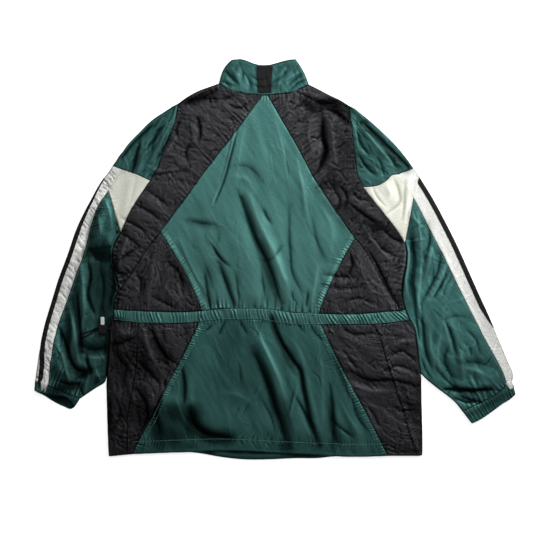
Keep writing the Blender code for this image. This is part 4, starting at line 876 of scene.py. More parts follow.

# %% [markdown]
# ## Light and shade in the satin
#
# Satin throws light back one way, so a fold that turns from the light goes nearly black and the
# next one shines, far more than their slopes alone explain. Where the folds of this cloth do that,
# a soft stroke darkens or lightens it. The strokes are placed as the creases are, one by one.

# %% Strokes of light and shade
STROKES = [
    # how many times as light, width (on its left and on its right where they differ), run
    # left sleeve
    (0.62, 51.7, [(-379, 29), (-399, -109), (-416, -252)]),
    (0.45, 19.4, [(-375, -6), (-371, -101)]),
    (0.6, (10.8, 8.6), [(-435, -53), (-446, -114)]),
    (0.3, 12.9, [(-478, -243), (-455, -256)]),
    (0.35, 6.5, [(-418, -252), (-399, -254)]),
    (0.5, 12.9, [(-388, 102), (-392, 54)]),
    (0.3, (12.9, 10.8), [(-394, 50), (-390, 16)]),
    (0.5, 19.4, [(-403, 3), (-364, -15)]),
    (1.6, 10.8, [(-364, 63), (-351, 37)]),
    (0.1, 10.8, [(-409, 11), (-381, 11), (-358, 11)]),
    (0.35, 8.6, [(-369, 46), (-369, -6)]),
    (1.7, 10.8, [(-364, 132), (-364, 89), (-369, 54)]),
    (1.5, 4.3, [(-356, 50), (-353, 7)]),
    (0.55, 6.5, [(-422, -6), (-427, -79)]),
    (1.5, 9.7, [(-409, -10), (-412, -66), (-403, -101), (-392, -131)]),
    (1.9, 17.2, [(-407, -144), (-384, -170)]),
    (0.32, 3.9, [(-401, -6), (-397, -34), (-402, -66), (-399, -92), (-386, -118)]),
    (0.65, (19.4, 17.2), [(-377, -10), (-373, -88)]),
    (0.12, (10.8, 8.6), [(-351, 3), (-349, -62)]),
    (0.5, (6.5, 8.6), [(-349, -66), (-356, -118)]),
    (0.16, (6.5, 5.2), [(-434, -84), (-425, -127), (-420, -165), (-418, -204)]),
    (1.7, 5.4, [(-435, -127), (-432, -165), (-433, -196), (-420, -221)]),
    (0.2, 6.5, [(-444, -122), (-444, -165), (-447, -196), (-439, -226), (-425, -245)]),
    (0.6, 4.3, [(-461, -152), (-457, -174)]),
    (0.12, 9.7, [(-435, -234), (-416, -241), (-399, -243)]),
    (1.7, 5.4, [(-465, -178), (-463, -226), (-442, -256)]),
    (0.36, (17.2, 15.1), [(-420, -191), (-384, -193), (-353, -191)]),
    (1.6, 10.8, [(-416, -217), (-369, -221)]),
    (1.3, 12.9, [(-392, -226), (-379, -252)]),
    (0.45, 4.3, [(-404, -208), (-399, -243)]),
    (0.14, 8.6, [(-468, -273), (-420, -271)]),
    (0.4, 8.6, [(-386, -258), (-360, -260)]),
    (0.7, 8.6, [(-470, -200), (-474, -239)]),
    (0.7, 6.5, [(-497, -213), (-498, -239)]),
    (1.2, 15.1, [(-468, -88), (-487, -185)]),
    (0.7, 15.1, [(-481, -273), (-459, -282), (-442, -290)]),
    (1.8, 8.6, [(-437, -286), (-425, -301)]),
    (1.7, 8.6, [(-489, -269), (-476, -275)]),
    (0.5, 8.6, [(-463, -277), (-433, -277)]),
    (0.14, (17.2, 10.8), [(-493, -286), (-470, -299), (-442, -312)]),
    (0.2, (3.4, 4.7), [(-356, -127), (-360, -174), (-362, -256)]),
    (0.3, 10.8, [(-371, -105), (-369, -170)]),
    # left stripe and gusset
    (1.3, 10.8, [(-371, 160), (-405, 63), (-440, -45), (-465, -142), (-487, -260)]),
    (0.78, 17.2, [(308, 149), (356, 63), (420, -66), (502, -243)]),
    (0.84, 10.8, [(-317, 175), (-323, 128), (-330, 72)]),
    # caps
    (2.2, 6.5, [(-317, 242), (-300, 259), (-278, 281)]),
    (0.68, 23.7, [(-330, 214), (-291, 261), (-237, 309)]),
    (0.6, 10.8, [(-321, 192), (-291, 214), (-259, 235), (-235, 283)]),
    (0.25, (8.6, 10.8), [(181, 294), (218, 259), (244, 231), (282, 194)]),
    (0.5, 10.8, [(235, 244), (280, 199)]),
    (0.6, (19.4, 15.1), [(162, 244), (187, 210), (226, 184)]),
    (1.15, 12.9, [(187, 279), (205, 257), (226, 231)]),
    (0.6, 8.6, [(179, 304), (198, 279)]),
    (0.6, 10.8, [(256, 218), (287, 190)]),
    # collar
    (0.75, 12.9, [(-110, 395), (-84, 419)]),
    (0.7, 10.8, [(15, 416), (50, 408)]),
    (1.35, 10.8, [(-93, 382), (-62, 369)]),
    (0.7, 8.6, [(-11, 369), (13, 376)]),
    # left band
    (0.5, 8.6, [(-183, 337), (-162, 343), (-131, 350)]),
    (0.45, 6.5, [(-226, 326), (-172, 347), (-123, 352)]),
    (1.2, 30.2, [(-136, 317), (-93, 253)]),
    (1.25, (10.8, 15.1), [(-106, 360), (-80, 335), (-60, 326)]),
    (1.3, 15.1, [(-162, 317), (-149, 274)]),
    (0.4, 5.4, [(-185, 304), (-177, 279), (-164, 253)]),
    (1.25, 30.2, [(-265, 123), (-200, 175)]),
    (1.3, 12.9, [(-317, 85), (-269, 41)]),
    (1.5, 5.4, [(-50, 330), (-75, 291), (-95, 261)]),
    # right band
    (0.5, (8.6, 10.8), [(67, 337), (114, 335), (151, 317)]),
    (0.14, 8.6, [(56, 345), (78, 326), (101, 317)]),
    (0.14, 9.7, [(106, 335), (125, 332), (138, 315), (157, 296)]),
    (0.5, 4.3, [(62, 341), (97, 337), (129, 337)]),
    (0.7, 19.4, [(119, 300), (140, 235)]),
    (1.6, 6.5, [(62, 367), (108, 350), (151, 328)]),
    (0.28, (6.5, 5.4), [(103, 302), (106, 261), (110, 235), (101, 201)]),
    (1.8, 5.4, [(119, 296), (121, 246), (127, 197)]),
    (1.35, 8.6, [(54, 322), (56, 240)]),
    (0.5, (10.8, 8.6), [(93, 149), (119, 160), (149, 141)]),
    (0.26, (10.8, 15.1), [(153, 115), (183, 93), (222, 72), (261, 54)]),
    (0.6, 17.2, [(196, 63), (252, 29)]),
    (1.4, 8.6, [(175, 136), (209, 106), (244, 85)]),
    (0.6, 10.8, [(110, 121), (136, 93), (166, 67)]),
    (0.6, 10.8, [(119, 188), (131, 158)]),
    (0.62, 56, [(119, 335), (153, 235), (166, 149)]),
    (1.35, 6.5, [(196, 175), (248, 102)]),
    (2.2, 8.6, [(226, 63), (274, 35)]),
    # kite
    (0.75, 10.8, [(-84, 197), (-54, 188), (-32, 162)]),
    (0.4, 7.3, [(-69, 132), (-54, 91), (-43, 48), (-28, 1), (-13, -38), (4, -79)]),
    (0.42, 10.8, [(-32, 33), (-17, -6), (-4, -51)]),
    (0.75, 8.6, [(93, 24), (110, -6)]),
    (1.5, 7.3, [(-17, 80), (-2, 41), (11, -2), (24, -40)]),
    (0.5, 8.6, [(-127, 20), (-116, -19), (-103, -55)]),
    (0.42, 7.5, [(-106, -40), (-88, -99)]),
    (0.52, 9.7, [(-153, -45), (-136, -101)]),
    (0.55, 8.6, [(-183, 82), (-131, 72)]),
    (0.82, 21.5, [(-183, 119), (-149, 102)]),
    (1.8, (7.5, 6.5), [(-237, 48), (-194, -17), (-155, -96)]),
    (1.3, 6.5, [(153, 31), (125, -34), (99, -94)]),
    (0.5, 8.6, [(-218, -25), (-196, -55)]),
    (0.7, 15.1, [(-209, 20), (-175, -49)]),
    (1.12, 30.2, [(-28, 279), (2, 188)]),
    (1.22, 17.2, [(6, 136), (24, 72), (34, 20)]),
    (1.25, 17.2, [(93, 98), (136, 33)]),
    (1.4, 3.2, [(-93, 279), (-110, 203), (-134, 121)]),
    (0.7, 3.2, [(-86, 279), (-103, 203), (-127, 121)]),
    (0.55, (17.2, 12.9), [(-19, -45), (-2, -71), (13, -99)]),
    (0.82, 64.6, [(-170, 50), (-93, -88)]),
    (0.85, 12.9, [(-162, -96), (-54, -92), (84, -101)]),
    # skirt
    (0.8, 8.6, [(-62, -144), (-52, -183)]),
    (0.76, (25.9, 12.9), [(-67, -200), (-50, -239), (-34, -286), (-28, -325)]),
    (0.2, (10.8, 8.6), [(-45, -191), (-33, -219), (-20, -249), (-9, -282), (-1, -314),
                        (12, -346), (23, -383), (32, -413)]),
    (0.5, 8.6, [(11, -299), (26, -342), (39, -390)]),
    (1.7, 12.9, [(-47, -131), (-30, -174), (-11, -219), (6, -260), (19, -290)]),
    (0.16, (5.6, 8.6), [(-6, -122), (2, -150), (17, -185), (30, -208)]),
    (0.2, 10.8, [(22, -196), (32, -217), (47, -239)]),
    (1.3, (8.6, 6.5), [(-24, -135), (-11, -165), (2, -191)]),
    (0.26, 4.3, [(54, -230), (57, -249), (62, -282), (69, -314)]),
    (0.35, 6.9, [(67, -303), (73, -342), (86, -377), (95, -405)]),
    (1.6, 4.7, [(19, -155), (47, -185), (62, -221), (73, -271), (86, -325), (97, -364)]),
    (0.45, 8.6, [(121, -303), (125, -351), (138, -394)]),
    (0.78, 21.5, [(-93, -140), (-106, -187), (-101, -239)]),
    (0.6, 6.5, [(-84, -142), (-75, -187)]),
    (0.42, 6.5, [(116, -176), (134, -221), (151, -280)]),
    (1.25, 25.9, [(-149, -310), (-106, -329), (-62, -342)]),
    (1.35, 6.5, [(-179, -252), (-177, -312)]),
    (0.45, 6.5, [(-198, -234), (-194, -303)]),
    (1.18, 25.9, [(-155, -152), (-149, -293)]),
    (0.8, 25.9, [(-119, -247), (-50, -286)]),
    (0.65, 10.8, [(-19, -368), (2, -398)]),
    (0.6, 12.9, [(62, -381), (97, -407)]),
    (1.6, 8.6, [(-147, -144), (-140, -152)]),
    (1.6, 8.6, [(-114, -135), (-108, -146)]),
    (0.3, 19.4, [(-248, -329), (-209, -329), (-183, -340)]),
    (0.6, 38.8, [(-235, -355), (-170, -372)]),
    (0.12, (10.8, 14), [(-179, -327), (-177, -353), (-162, -370), (-140, -381), (-97, -386)]),
    (0.3, 15.1, [(-168, -321), (-168, -355), (-149, -374), (-97, -381)]),
    (0.35, 8.6, [(15, -392), (19, -418)]),
    (0.4, 6.5, [(121, -390), (127, -411)]),
    (0.5, 8.6, [(-192, -355), (-175, -374)]),
    (1.6, 6.5, [(-196, -392), (-175, -392)]),
    (0.8, 12.9, [(-153, -394), (-84, -409)]),
    (0.5, 12.9, [(119, -355), (149, -402)]),
    (0.6, 8.6, [(222, -381), (235, -413)]),
    (0.22, 12.9, [(-261, -329), (-248, -402)]),
    (0.4, 19.4, [(-248, -351), (-226, -381), (-200, -394)]),
    # skirt right
    (1.35, 8.6, [(121, -159), (151, -217), (187, -286), (235, -390)]),
    (1.5, 6.5, [(147, -157), (194, -157), (265, -155)]),
    (0.5, 8.6, [(131, -161), (153, -178), (175, -187)]),
    (1.9, 15.1, [(142, -174), (162, -200), (183, -221)]),
    (0.38, 10.8, [(140, -217), (162, -237), (187, -256), (237, -269), (308, -271)]),
    (1.3, 8.6, [(166, -277), (205, -295), (239, -299)]),
    (0.42, 12.9, [(274, -299), (308, -342)]),
    (0.6, (3.2, 4.3), [(312, -265), (315, -336), (315, -411)]),
    # skirt left
    (0.3, (6.5, 8.6), [(-358, -303), (-357, -372)]),
    (0.7, 86.2, [(-351, -152), (-343, -415)]),
    (0.75, 51.7, [(-351, -329), (-278, -398)]),
    (0.4, 17.2, [(-261, -187), (-226, -234)]),
    (0.45, 8.6, [(-274, -148), (-256, -185), (-231, -221)]),
    (0.45, 23.7, [(-330, -183), (-321, -252)]),
    (0.6, 17.2, [(-291, -174), (-282, -243)]),
    (0.45, 8.6, [(-295, -232), (-269, -252)]),
    (0.38, 17.2, [(-295, -290), (-278, -355)]),
    (1.5, 10.8, [(-312, -152), (-289, -170)]),
    (1.6, 10.8, [(-248, -142), (-213, -161)]),
    (1.6, 5.4, [(-274, -204), (-259, -239), (-244, -271), (-248, -299)]),
    (1.6, 12.9, [(-252, -273), (-222, -308)]),
    (1.6, 12.9, [(-338, -260), (-325, -316)]),
    (1.4, 12.9, [(-343, -355), (-278, -364)]),
    # right sleeve
    (1.3, 69, [(330, 74), (356, -66), (381, -243)]),
    (1.42, 19.4, [(297, 72), (306, -88), (321, -239)]),
    (0.45, 6.5, [(291, 98), (297, 31), (293, -34), (291, -99)]),
    (1.6, 5.4, [(300, -6), (306, -84), (306, -148)]),
    (1.5, 8.6, [(284, 41), (280, -45)]),
    (1.8, 6.5, [(336, -30), (323, -68)]),
    (0.55, 6.5, [(325, -6), (319, -53)]),
    (0.6, 6.5, [(369, -135), (388, -185), (401, -256)]),
    (1.25, 30.2, [(356, -71), (416, -183)]),
    (0.65, 8.6, [(394, -221), (455, -221)]),
    (1.45, 6.5, [(315, -243), (377, -260), (455, -262)]),
    (0.14, (7.5, 9.7), [(379, -277), (405, -282), (429, -284), (465, -277)]),
    (0.65, (15.1, 17.2), [(435, -308), (463, -295), (502, -277)]),
    (0.6, 6.5, [(407, -342), (463, -312), (506, -290)]),
    # casing
    (0.8, 17.2, [(-351, -118), (-162, -114), (54, -122), (278, -122)]),
    (0.25, 6.5, [(-351, -129), (-325, -133)]),
]


def add_stroke(field, gain, width, run):
    """log2(gain) * taper(along) * exp(-|d / width|^3), which is flat in the middle of the stroke
    and soft at its edges; 2 to the power of the sum of all the strokes is the tone: painted light
    where it is over one and painted shade where it is under."""
    left, right = np.broadcast_to(width, 2)
    window, gap, along, total = near(smooth(run, 5), 1.8 * max(left, right))
    width = np.where(gap > 0, left, right)
    taper = np.sin(np.pi * np.clip(0.08 + 0.84 * along / total, 0, 1)) ** 0.6
    field[window] += math.log2(gain) * taper * np.exp(-(np.abs(gap / width) ** 3))


# painted shade along the whole outline, where the cloth rolls under; the strokes of painted light and
# painted shade are added to it
EDGE_SHADE = 1.1
EDGE_WIDTH = 2.6
stops = -EDGE_SHADE * np.exp(-((from_edge / EDGE_WIDTH) ** 2))
for gain, width, run in STROKES:
    add_stroke(stops, gain, width, run)
tone = 2.0 ** stops
print(len(STROKES), "strokes, tones from", round(tone.min(), 2), "to", round(tone.max(), 2))

# %% [markdown]
# ## From lines to sheets
#
# A piece between four lines is a Coons patch: slide from the left line to the right one, slide
# from the top line to the bottom one, add the two and take off what was counted twice. A line may
# shrink to a point. The grid is closer near the edges, where the seams are.

# %% Patches and meshes
WALL = 0.8
TABLE_GAP = 0.2


def spread(count):
    """Numbers from 0 to 1, closer together near both ends: t - 0.3 sin(2 pi t) / (2 pi)."""
    t = np.linspace(0, 1, count)
    return t - 0.3 * np.sin(2 * np.pi * t) / (2 * np.pi)


def share_of(run, share):
    """The points of a run at these shares of its length."""
    return at(run, share * lengths(run)[-1])


def shade_smooth(mesh):
    """Shades the whole mesh as one round surface."""
    mesh.polygons.foreach_set("use_smooth", np.ones(len(mesh.polygons), bool))


def patch(left, right, top, bottom, columns, rows):
    """Coons patch in plan: left and right run down, top and bottom run to the right."""
    u, v = spread(columns), spread(rows)
    sides = share_of(left, v)[:, None], share_of(right, v)[:, None]
    ends = share_of(top, u)[None], share_of(bottom, u)[None]
    u, v = u[None, :, None], v[:, None, None]
    corners = (1 - u) * (1 - v) * ends[0][:, :1] + u * (1 - v) * ends[0][:, -1:]
    corners = corners + (1 - u) * v * ends[1][:, :1] + u * v * ends[1][:, -1:]
    return (1 - u) * sides[0] + u * sides[1] + (1 - v) * ends[0] + v * ends[1] - corners


def grid_faces(rows, columns, first=0, flip=False):
    """Four corners of every cell of a grid that is stored row by row."""
    r, c = np.meshgrid(np.arange(rows - 1), np.arange(columns - 1), indexing="ij")
    a = first + (r * columns + c).ravel()
    faces = np.stack([a, a + columns, a + columns + 1, a + 1], axis=1)
    return faces[:, ::-1] if flip else faces


def surface(name, grids, flips=None, weld=False, turn=0.0):
    """One object from grids of points in mm. Each point carries its place in plan as UV, in
    metres and turned to the thread, and what the crest, tone and seam maps say of that place: the
    maps by which the cloth paints its shade and highlight."""
    flips = flips or [False] * len(grids)
    points = np.vstack([g.reshape(-1, 3) for g in grids])
    x, y = points[:, 0], points[:, 1]
    bulged = points + np.stack([sample(bulge_x, x, y), sample(bulge_y, x, y), 0 * x], axis=1)
    faces, first = [], 0
    for grid, flip in zip(grids, flips):
        faces.append(grid_faces(grid.shape[0], grid.shape[1], first, flip))
        first += grid.shape[0] * grid.shape[1]
    faces = np.vstack(faces)
    mesh = bpy.data.meshes.new(name + "_cloth")
    mesh.from_pydata(bulged * MM, [], faces.tolist())
    c, s = math.cos(math.radians(turn)), math.sin(math.radians(turn))
    plan = points[:, :2] @ np.array([[c, -s], [s, c]]) * MM
    uv = mesh.uv_layers.new(name="plan")
    uv.data.foreach_set("uv", plan[faces.ravel()].ravel().astype(np.float32))
    for label, values in (("crest", sample(crest, x, y)), ("tone", sample(tone, x, y)),
                          ("seam", np.exp(-((sample(from_seam, x, y) / 1.5) ** 2)))):
        layer = mesh.attributes.new(label, "FLOAT", "POINT")
        layer.data.foreach_set("value", values.astype(np.float32))
    work = bmesh.new()
    work.from_mesh(mesh)
    if weld:
        bmesh.ops.remove_doubles(work, verts=work.verts, dist=0.02 * MM)
    bmesh.ops.dissolve_degenerate(work, edges=work.edges, dist=1e-6)
    work.to_mesh(mesh)
    work.free()
    shade_smooth(mesh)
    return in_scene(name + "_cloth", mesh)


def with_height(xy, z):
    """Points in space from a grid in plan and the height of each of its points."""
    return np.concatenate([xy, np.broadcast_to(z, xy.shape[:2])[..., None]], axis=2)


def on_map(xy, rise=0.0):
    """The grid laid on the height map, and raised."""
    return with_height(xy, over(height, xy) + rise)


def on_table(xy):
    """The underside of a folded piece: from the fold at 3 mm down to the table in a quarter round."""
    turn = quarter_round(over(from_edge, xy))
    return with_height(xy, FOLD_ROUND - (FOLD_ROUND - TABLE_GAP) * turn)


print("sheets get a wall of", WALL, "mm")

# %% [markdown]
# ## Finishes
#
# The cloth is satin nylon taffeta. Its colour comes from dyed, half clear threads, so even the
# gloss is tinted; its surface has a fine weave, and over that a crinkle of a few millimetres that
# no mesh could carry. One shader group makes colour, roughness and relief for all the cloths,
# from the place in plan and three maps: the crests, the tone of the strokes and the distance to
# a seam. All three paint light into the colour: painted shade in the troughs, at the seams and in
# the dark strokes, painted highlight on the ridges and painted light in the light strokes. Each
# cloth gives it its own colours and strengths.

# %% The taffeta group
def node(tree, kind, inputs=(), **settings):
    """Adds a node, sets its properties, and fills each named input with a value or a link."""
    added = tree.nodes.new("ShaderNode" + kind)
    for key, value in settings.items():
        setattr(added, key, value)
    for key, value in dict(inputs).items():
        if isinstance(value, bpy.types.NodeSocket):
            tree.links.new(value, added.inputs[key])
        else:
            added.inputs[key].default_value = value
    return added


def maths(tree, operation, a, b=0.0, clamp=False):
    """One step of arithmetic on two numbers, kept between 0 and 1 if clamp is set."""
    return node(tree, "Math", {0: a, 1: b}, operation=operation, use_clamp=clamp).outputs[0]


def times(tree, a, b, clamp=False):
    """The product of two numbers."""
    return maths(tree, "MULTIPLY", a, b, clamp)


def plus(tree, a, b):
    """The sum of two numbers."""
    return maths(tree, "ADD", a, b)


def minus(tree, a, b, clamp=False):
    """The first number less the second."""
    return maths(tree, "SUBTRACT", a, b, clamp)


def scaled(tree, value, size, start):
    """The value times size, plus start: 0 to 1 becomes start to start + size."""
    return plus(tree, times(tree, value, size), start)


def noise(tree, place, scale, detail, **more):
    """Cloudy noise at a place: scale is its lumps in a mm, detail how many finer layers it has."""
    inputs = {"Vector": place, "Scale": scale, "Detail": detail, **more}
    return node(tree, "TexNoise", inputs).outputs["Fac"]


def mixed(tree, factor, a, b, blend="MIX"):
    """Colour a turned towards colour b by the factor. Inputs 0, 6 and 7 are the colour ones."""
    return node(tree, "Mix", {0: factor, 6: a, 7: b}, data_type="RGBA", blend_type=blend,
                clamp_factor=True).outputs[2]


def shaded(tree, colour, factor):
    """The colour, made this many times as light."""
    grey = node(tree, "CombineColor", {0: factor, 1: factor, 2: factor})
    return mixed(tree, 1.0, colour, grey.outputs[0], blend="MULTIPLY")


def new_group(name, inputs, outputs):
    """An empty shader group with these inputs (name, kind, start) and outputs (name, kind)."""
    group = bpy.data.node_groups.new(name, "ShaderNodeTree")
    for label, kind, start in inputs:
        socket = group.interface.new_socket(label, in_out="INPUT", socket_type="NodeSocket" + kind)
        if start is not None:
            socket.default_value = start
    for label, kind in outputs:
        group.interface.new_socket(label, in_out="OUTPUT", socket_type="NodeSocket" + kind)
    return group, group.nodes.new("NodeGroupInput"), group.nodes.new("NodeGroupOutput")


def taffeta_group():
    """Place in mm, crest, seam and tone in, which paint shade and highlight into the colour; colour,
    roughness, metal and relief in mm out.
    """
    tree, given, result = new_group(
        "taffeta",
        [("Place", "Vector", None), ("Crest", "Float", 0.5), ("Seam", "Float", 0.0),
         ("Thread", "Color", (0.1, 0.1, 0.1, 1)), ("Trough Shade", "Color", (0.02, 0.02, 0.02, 1)),
         ("Ridge Highlight", "Color", (0.2, 0.2, 0.2, 1)), ("Crinkle", "Float", 0.3),
         ("Seam Shade", "Float", 0.5), ("Gloss", "Float", 0.4), ("Light And Shade", "Float", 1.0),
         ("Metal", "Float", 0.0), ("Dulling", "Float", 0.5)],
        [("Color", "Color"), ("Roughness", "Float"), ("Relief", "Float"), ("Metallic", "Float")])
    place, crest_in = given.outputs["Place"], given.outputs["Crest"]
    # painted shade: towards the trough colour where the crest map is low; painted highlight: towards the
    # ridge colour where it is high
    low = times(tree, crest_in, 2.0, clamp=True)
    high = minus(tree, times(tree, crest_in, 2.0), 1.0, clamp=True)
    colour = mixed(tree, low, given.outputs["Trough Shade"], given.outputs["Thread"])
    colour = mixed(tree, high, colour, given.outputs["Ridge Highlight"])
    cloud = scaled(tree, noise(tree, place, 0.016, 3.0, Roughness=0.55), 0.30, 0.85)
    mottle = scaled(tree, noise(tree, place, 0.30, 3.0, Roughness=0.6), 0.5, 0.75)
    warp = node(tree, "Mapping", {"Vector": place, "Scale": (2.6, 0.12, 1.0)})
    thread = noise(tree, warp.outputs[0], 1.0, 2.0)
    factor = times(tree, times(tree, cloud, mottle), scaled(tree, thread, 0.12, 0.94))
    # painted shade along every seam, where the cloth turns into its groove
    dark = times(tree, given.outputs["Seam"], given.outputs["Seam Shade"])
    # the tone map scales the colour: painted shade at the outline and in the dark strokes, painted light in
    # the light strokes
    factor = times(tree, times(tree, factor, minus(tree, 1.0, dark)), given.outputs["Light And Shade"])
    tree.links.new(shaded(tree, colour, factor), result.inputs["Color"])
    # a metal reflects in its own colour, so a nearly black metal has no gloss left: troughs and
    # dark strokes are turned towards it, so that the painted shade there takes the gloss away too
    lit = times(tree, scaled(tree, low, 0.6, 0.4), given.outputs["Light And Shade"])
    dull = times(tree, minus(tree, 1.0, lit, clamp=True), given.outputs["Dulling"])
    metal = given.outputs["Metal"]
    tree.links.new(scaled(tree, dull, minus(tree, 1.0, metal), metal), result.inputs["Metallic"])
    tree.links.new(scaled(tree, thread, 0.10, given.outputs["Gloss"]), result.inputs["Roughness"])
    crinkle = noise(tree, place, 0.15, 4.0, Roughness=0.62, Distortion=0.8)
    ridged = maths(tree, "ABSOLUTE", minus(tree, crinkle, 0.5))
    relief = times(tree, times(tree, ridged, 4.0), given.outputs["Crinkle"])
    weft = node(tree, "TexWave", {"Vector": place, "Scale": 0.7, "Distortion": 0.6}, bands_direction="X")
    yarn = node(tree, "TexWave", {"Vector": place, "Scale": 0.6, "Distortion": 0.6}, bands_direction="Y")
    weave = times(tree, plus(tree, weft.outputs["Fac"], yarn.outputs["Fac"]), 0.012)
    tree.links.new(plus(tree, relief, weave), result.inputs["Relief"])
    return tree


TAFFETA = taffeta_group()
print("group", TAFFETA.name, "with", len(TAFFETA.nodes), "nodes")

# %% The cloths
def start_material(name):
    """A new material, its node tree and the Principled node in it."""
    material = bpy.data.materials.new(name)
    material.use_nodes = True
    return material, material.node_tree, material.node_tree.nodes["Principled BSDF"]


def in_mm(tree, place):
    """A place in metres, turned into millimetres."""
    return node(tree, "VectorMath", {0: place, 1: (1000, 1000, 1000)}, operation="MULTIPLY").outputs[0]


def join_group(tree, shader, group):
    """What the group makes goes into the Principled node: each output of its own name, and the
    relief, which is in mm, as a bump."""
    for label, socket in (("Color", "Base Color"), ("Roughness", "Roughness"), ("Metallic", "Metallic")):
        if label in group.outputs:
            tree.links.new(group.outputs[label], shader.inputs[socket])
    bump = node(tree, "Bump", {"Height": group.outputs["Relief"], "Strength": 1.0, "Distance": MM})
    tree.links.new(bump.outputs["Normal"], shader.inputs["Normal"])


def cloth_material(name, thread, trough_shade, ridge_highlight, crinkle=0.3, seam_shade=0.5, gloss=0.36,
                   gloss_colour=(1, 1, 1), specular=0.5, metal=0.0, dulling=0.0):
    """Taffeta in its thread's colour, with painted shade in the troughs and painted highlight on the ridges.
    """
    material, tree, shader = start_material(name)
    plan = node(tree, "UVMap", uv_map="plan")
    crest_at, seam_at, light_and_shade_at = [node(tree, "Attribute", attribute_name=label).outputs["Fac"]
                                  for label in ("crest", "seam", "tone")]
    join_group(tree, shader, node(tree, "Group", {
        "Place": in_mm(tree, plan.outputs[0]), "Crest": crest_at, "Seam": seam_at, "Light And Shade": light_and_shade_at,
        "Thread": (*thread, 1), "Trough Shade": (*trough_shade, 1), "Ridge Highlight": (*ridge_highlight, 1), "Crinkle": crinkle,
        "Seam Shade": seam_shade, "Gloss": gloss, "Metal": metal, "Dulling": dulling}, node_tree=TAFFETA))
    shader.inputs["Specular IOR Level"].default_value = specular
    shader.inputs["Specular Tint"].default_value = (*gloss_colour, 1)
    return material


SATIN = {"seam_shade": 0.25, "gloss_colour": (0.45, 1.0, 0.92), "specular": 0.15, "metal": 0.3,
         "dulling": 0.3}
# each cloth: its thread colour, then the painted shade for its troughs and the painted highlight for its
# ridges
CLOTH = {
    "green": cloth_material("nylon_green", (0.062, 0.178, 0.162), (0.008, 0.032, 0.031),
                            (0.112, 0.270, 0.250), **SATIN),
    # the skirt is the kite's green cloth made darker: partly its own darker look, partly painted shade over
    # the lower garment
    "skirt": cloth_material("nylon_green_skirt_shaded", (0.032, 0.100, 0.092), (0.003, 0.014, 0.014),
                            (0.065, 0.175, 0.160), **SATIN),
    "dark": cloth_material("nylon_green_dark", (0.030, 0.096, 0.089), (0.003, 0.013, 0.013),
                           (0.066, 0.170, 0.158), **SATIN),
    "black": cloth_material("nylon_black", (0.0175, 0.0175, 0.0210), (0.0008, 0.0008, 0.0010),
                            (0.038, 0.039, 0.045), crinkle=0.62, gloss=0.33, specular=0.26, dulling=1.0),
    "white": cloth_material("nylon_white", (0.76, 0.77, 0.67), (0.50, 0.51, 0.42),
                            (0.82, 0.83, 0.75), crinkle=0.35, seam_shade=0.12),
    "stripe": cloth_material("nylon_white_stripe", (0.82, 0.83, 0.79), (0.40, 0.41, 0.39),
                             (0.90, 0.91, 0.88), crinkle=0.9, seam_shade=0.12),
    "tape": cloth_material("tape_black", (0.012, 0.012, 0.013), (0.006, 0.006, 0.006),
                           (0.018, 0.018, 0.019), crinkle=0.35, gloss=0.6, specular=0.1),
}
print(len(CLOTH), "cloths")

# %% [markdown]
# ## The back, piece by piece
#
# Each panel names its four lines, from the top left corner. The body's pieces stand a little
# higher along the side edge, because there they lie over the sleeves.

# %% Back and skirt panels
PANELS = {
    # name: left, right, top, bottom (None where they meet in a point), columns, rows, cloth
    "back_kite": ("kite_left_upper kite_left_lower", "kite_right_upper kite_right_lower", "neck_mid",
                  "waist_top_kite", 152, 190, "green"),
    "back_band_left": ("shoulder_left armhole_left underarm_left side_left",
                       "kite_left_upper band_seam_left", "neck_left", None, 82, 244, "black"),
    "back_band_right": ("kite_right_upper band_seam_right",
                        "shoulder_right armhole_right underarm_right side_right", "neck_right",
                        "waist_top_band_right", 82, 244, "black"),
    "back_side_left": ("band_seam_left side_left_low", "kite_left_lower", None, "waist_top_side_left",
                       82, 86, "black"),
    "back_side_right": ("kite_right_lower", "band_seam_right", None, "waist_top_side_right",
                        78, 82, "black"),
    "skirt_centre": ("skirt_seam_left", "skirt_seam_right", "waist_low_centre", "hem_centre",
                     180, 128, "skirt"),
    "skirt_side_left": ("outer_seam_left", "skirt_seam_left", "waist_low_side_left", "hem_side_left",
                        52, 124, "black"),
    "skirt_side_right": ("skirt_seam_right", "outer_seam_right", "waist_low_side_right",
                         "hem_side_right", 48, 124, "black"),
    "skirt_outer_left": ("skirt_edge_left skirt_edge_left_low", "outer_seam_left",
                         "waist_low_outer_left", "hem_outer_left", 28, 120, "black"),
    "skirt_outer_right": ("outer_seam_right", "skirt_edge_right skirt_edge_right_low",
                          "waist_low_outer_right", "hem_outer_right", 32, 120, "black"),
}
SIDE_LINES = (
    "side_left side_left_low casing_end_left skirt_edge_left side_right casing_end_right "
    "skirt_edge_right underarm_left underarm_right")
SIDE_LIFT = 2.0
SIDE_REACH = 6.0


def straight(first, second):
    """A straight line between two corners, or next to nothing where they are one point."""
    line = np.array([first, second])
    if np.allclose(first, second):
        line[1, 0] += 1e-6
    return line


def filled(left, right, top, bottom, columns, rows):
    """The patch between four runs of named lines; without a top or bottom it is closed straight."""
    left, right = rail(left), rail(right)
    top = rail(top) if top else straight(left[0], right[0])
    bottom = rail(bottom) if bottom else straight(left[-1], right[-1])
    return patch(left, right, top, bottom, columns, rows)


side_far = nearest(SIDE_LINES.split(), 5 * SIDE_REACH, 999.0)
side_lift = SIDE_LIFT * np.exp(-side_far / SIDE_REACH)


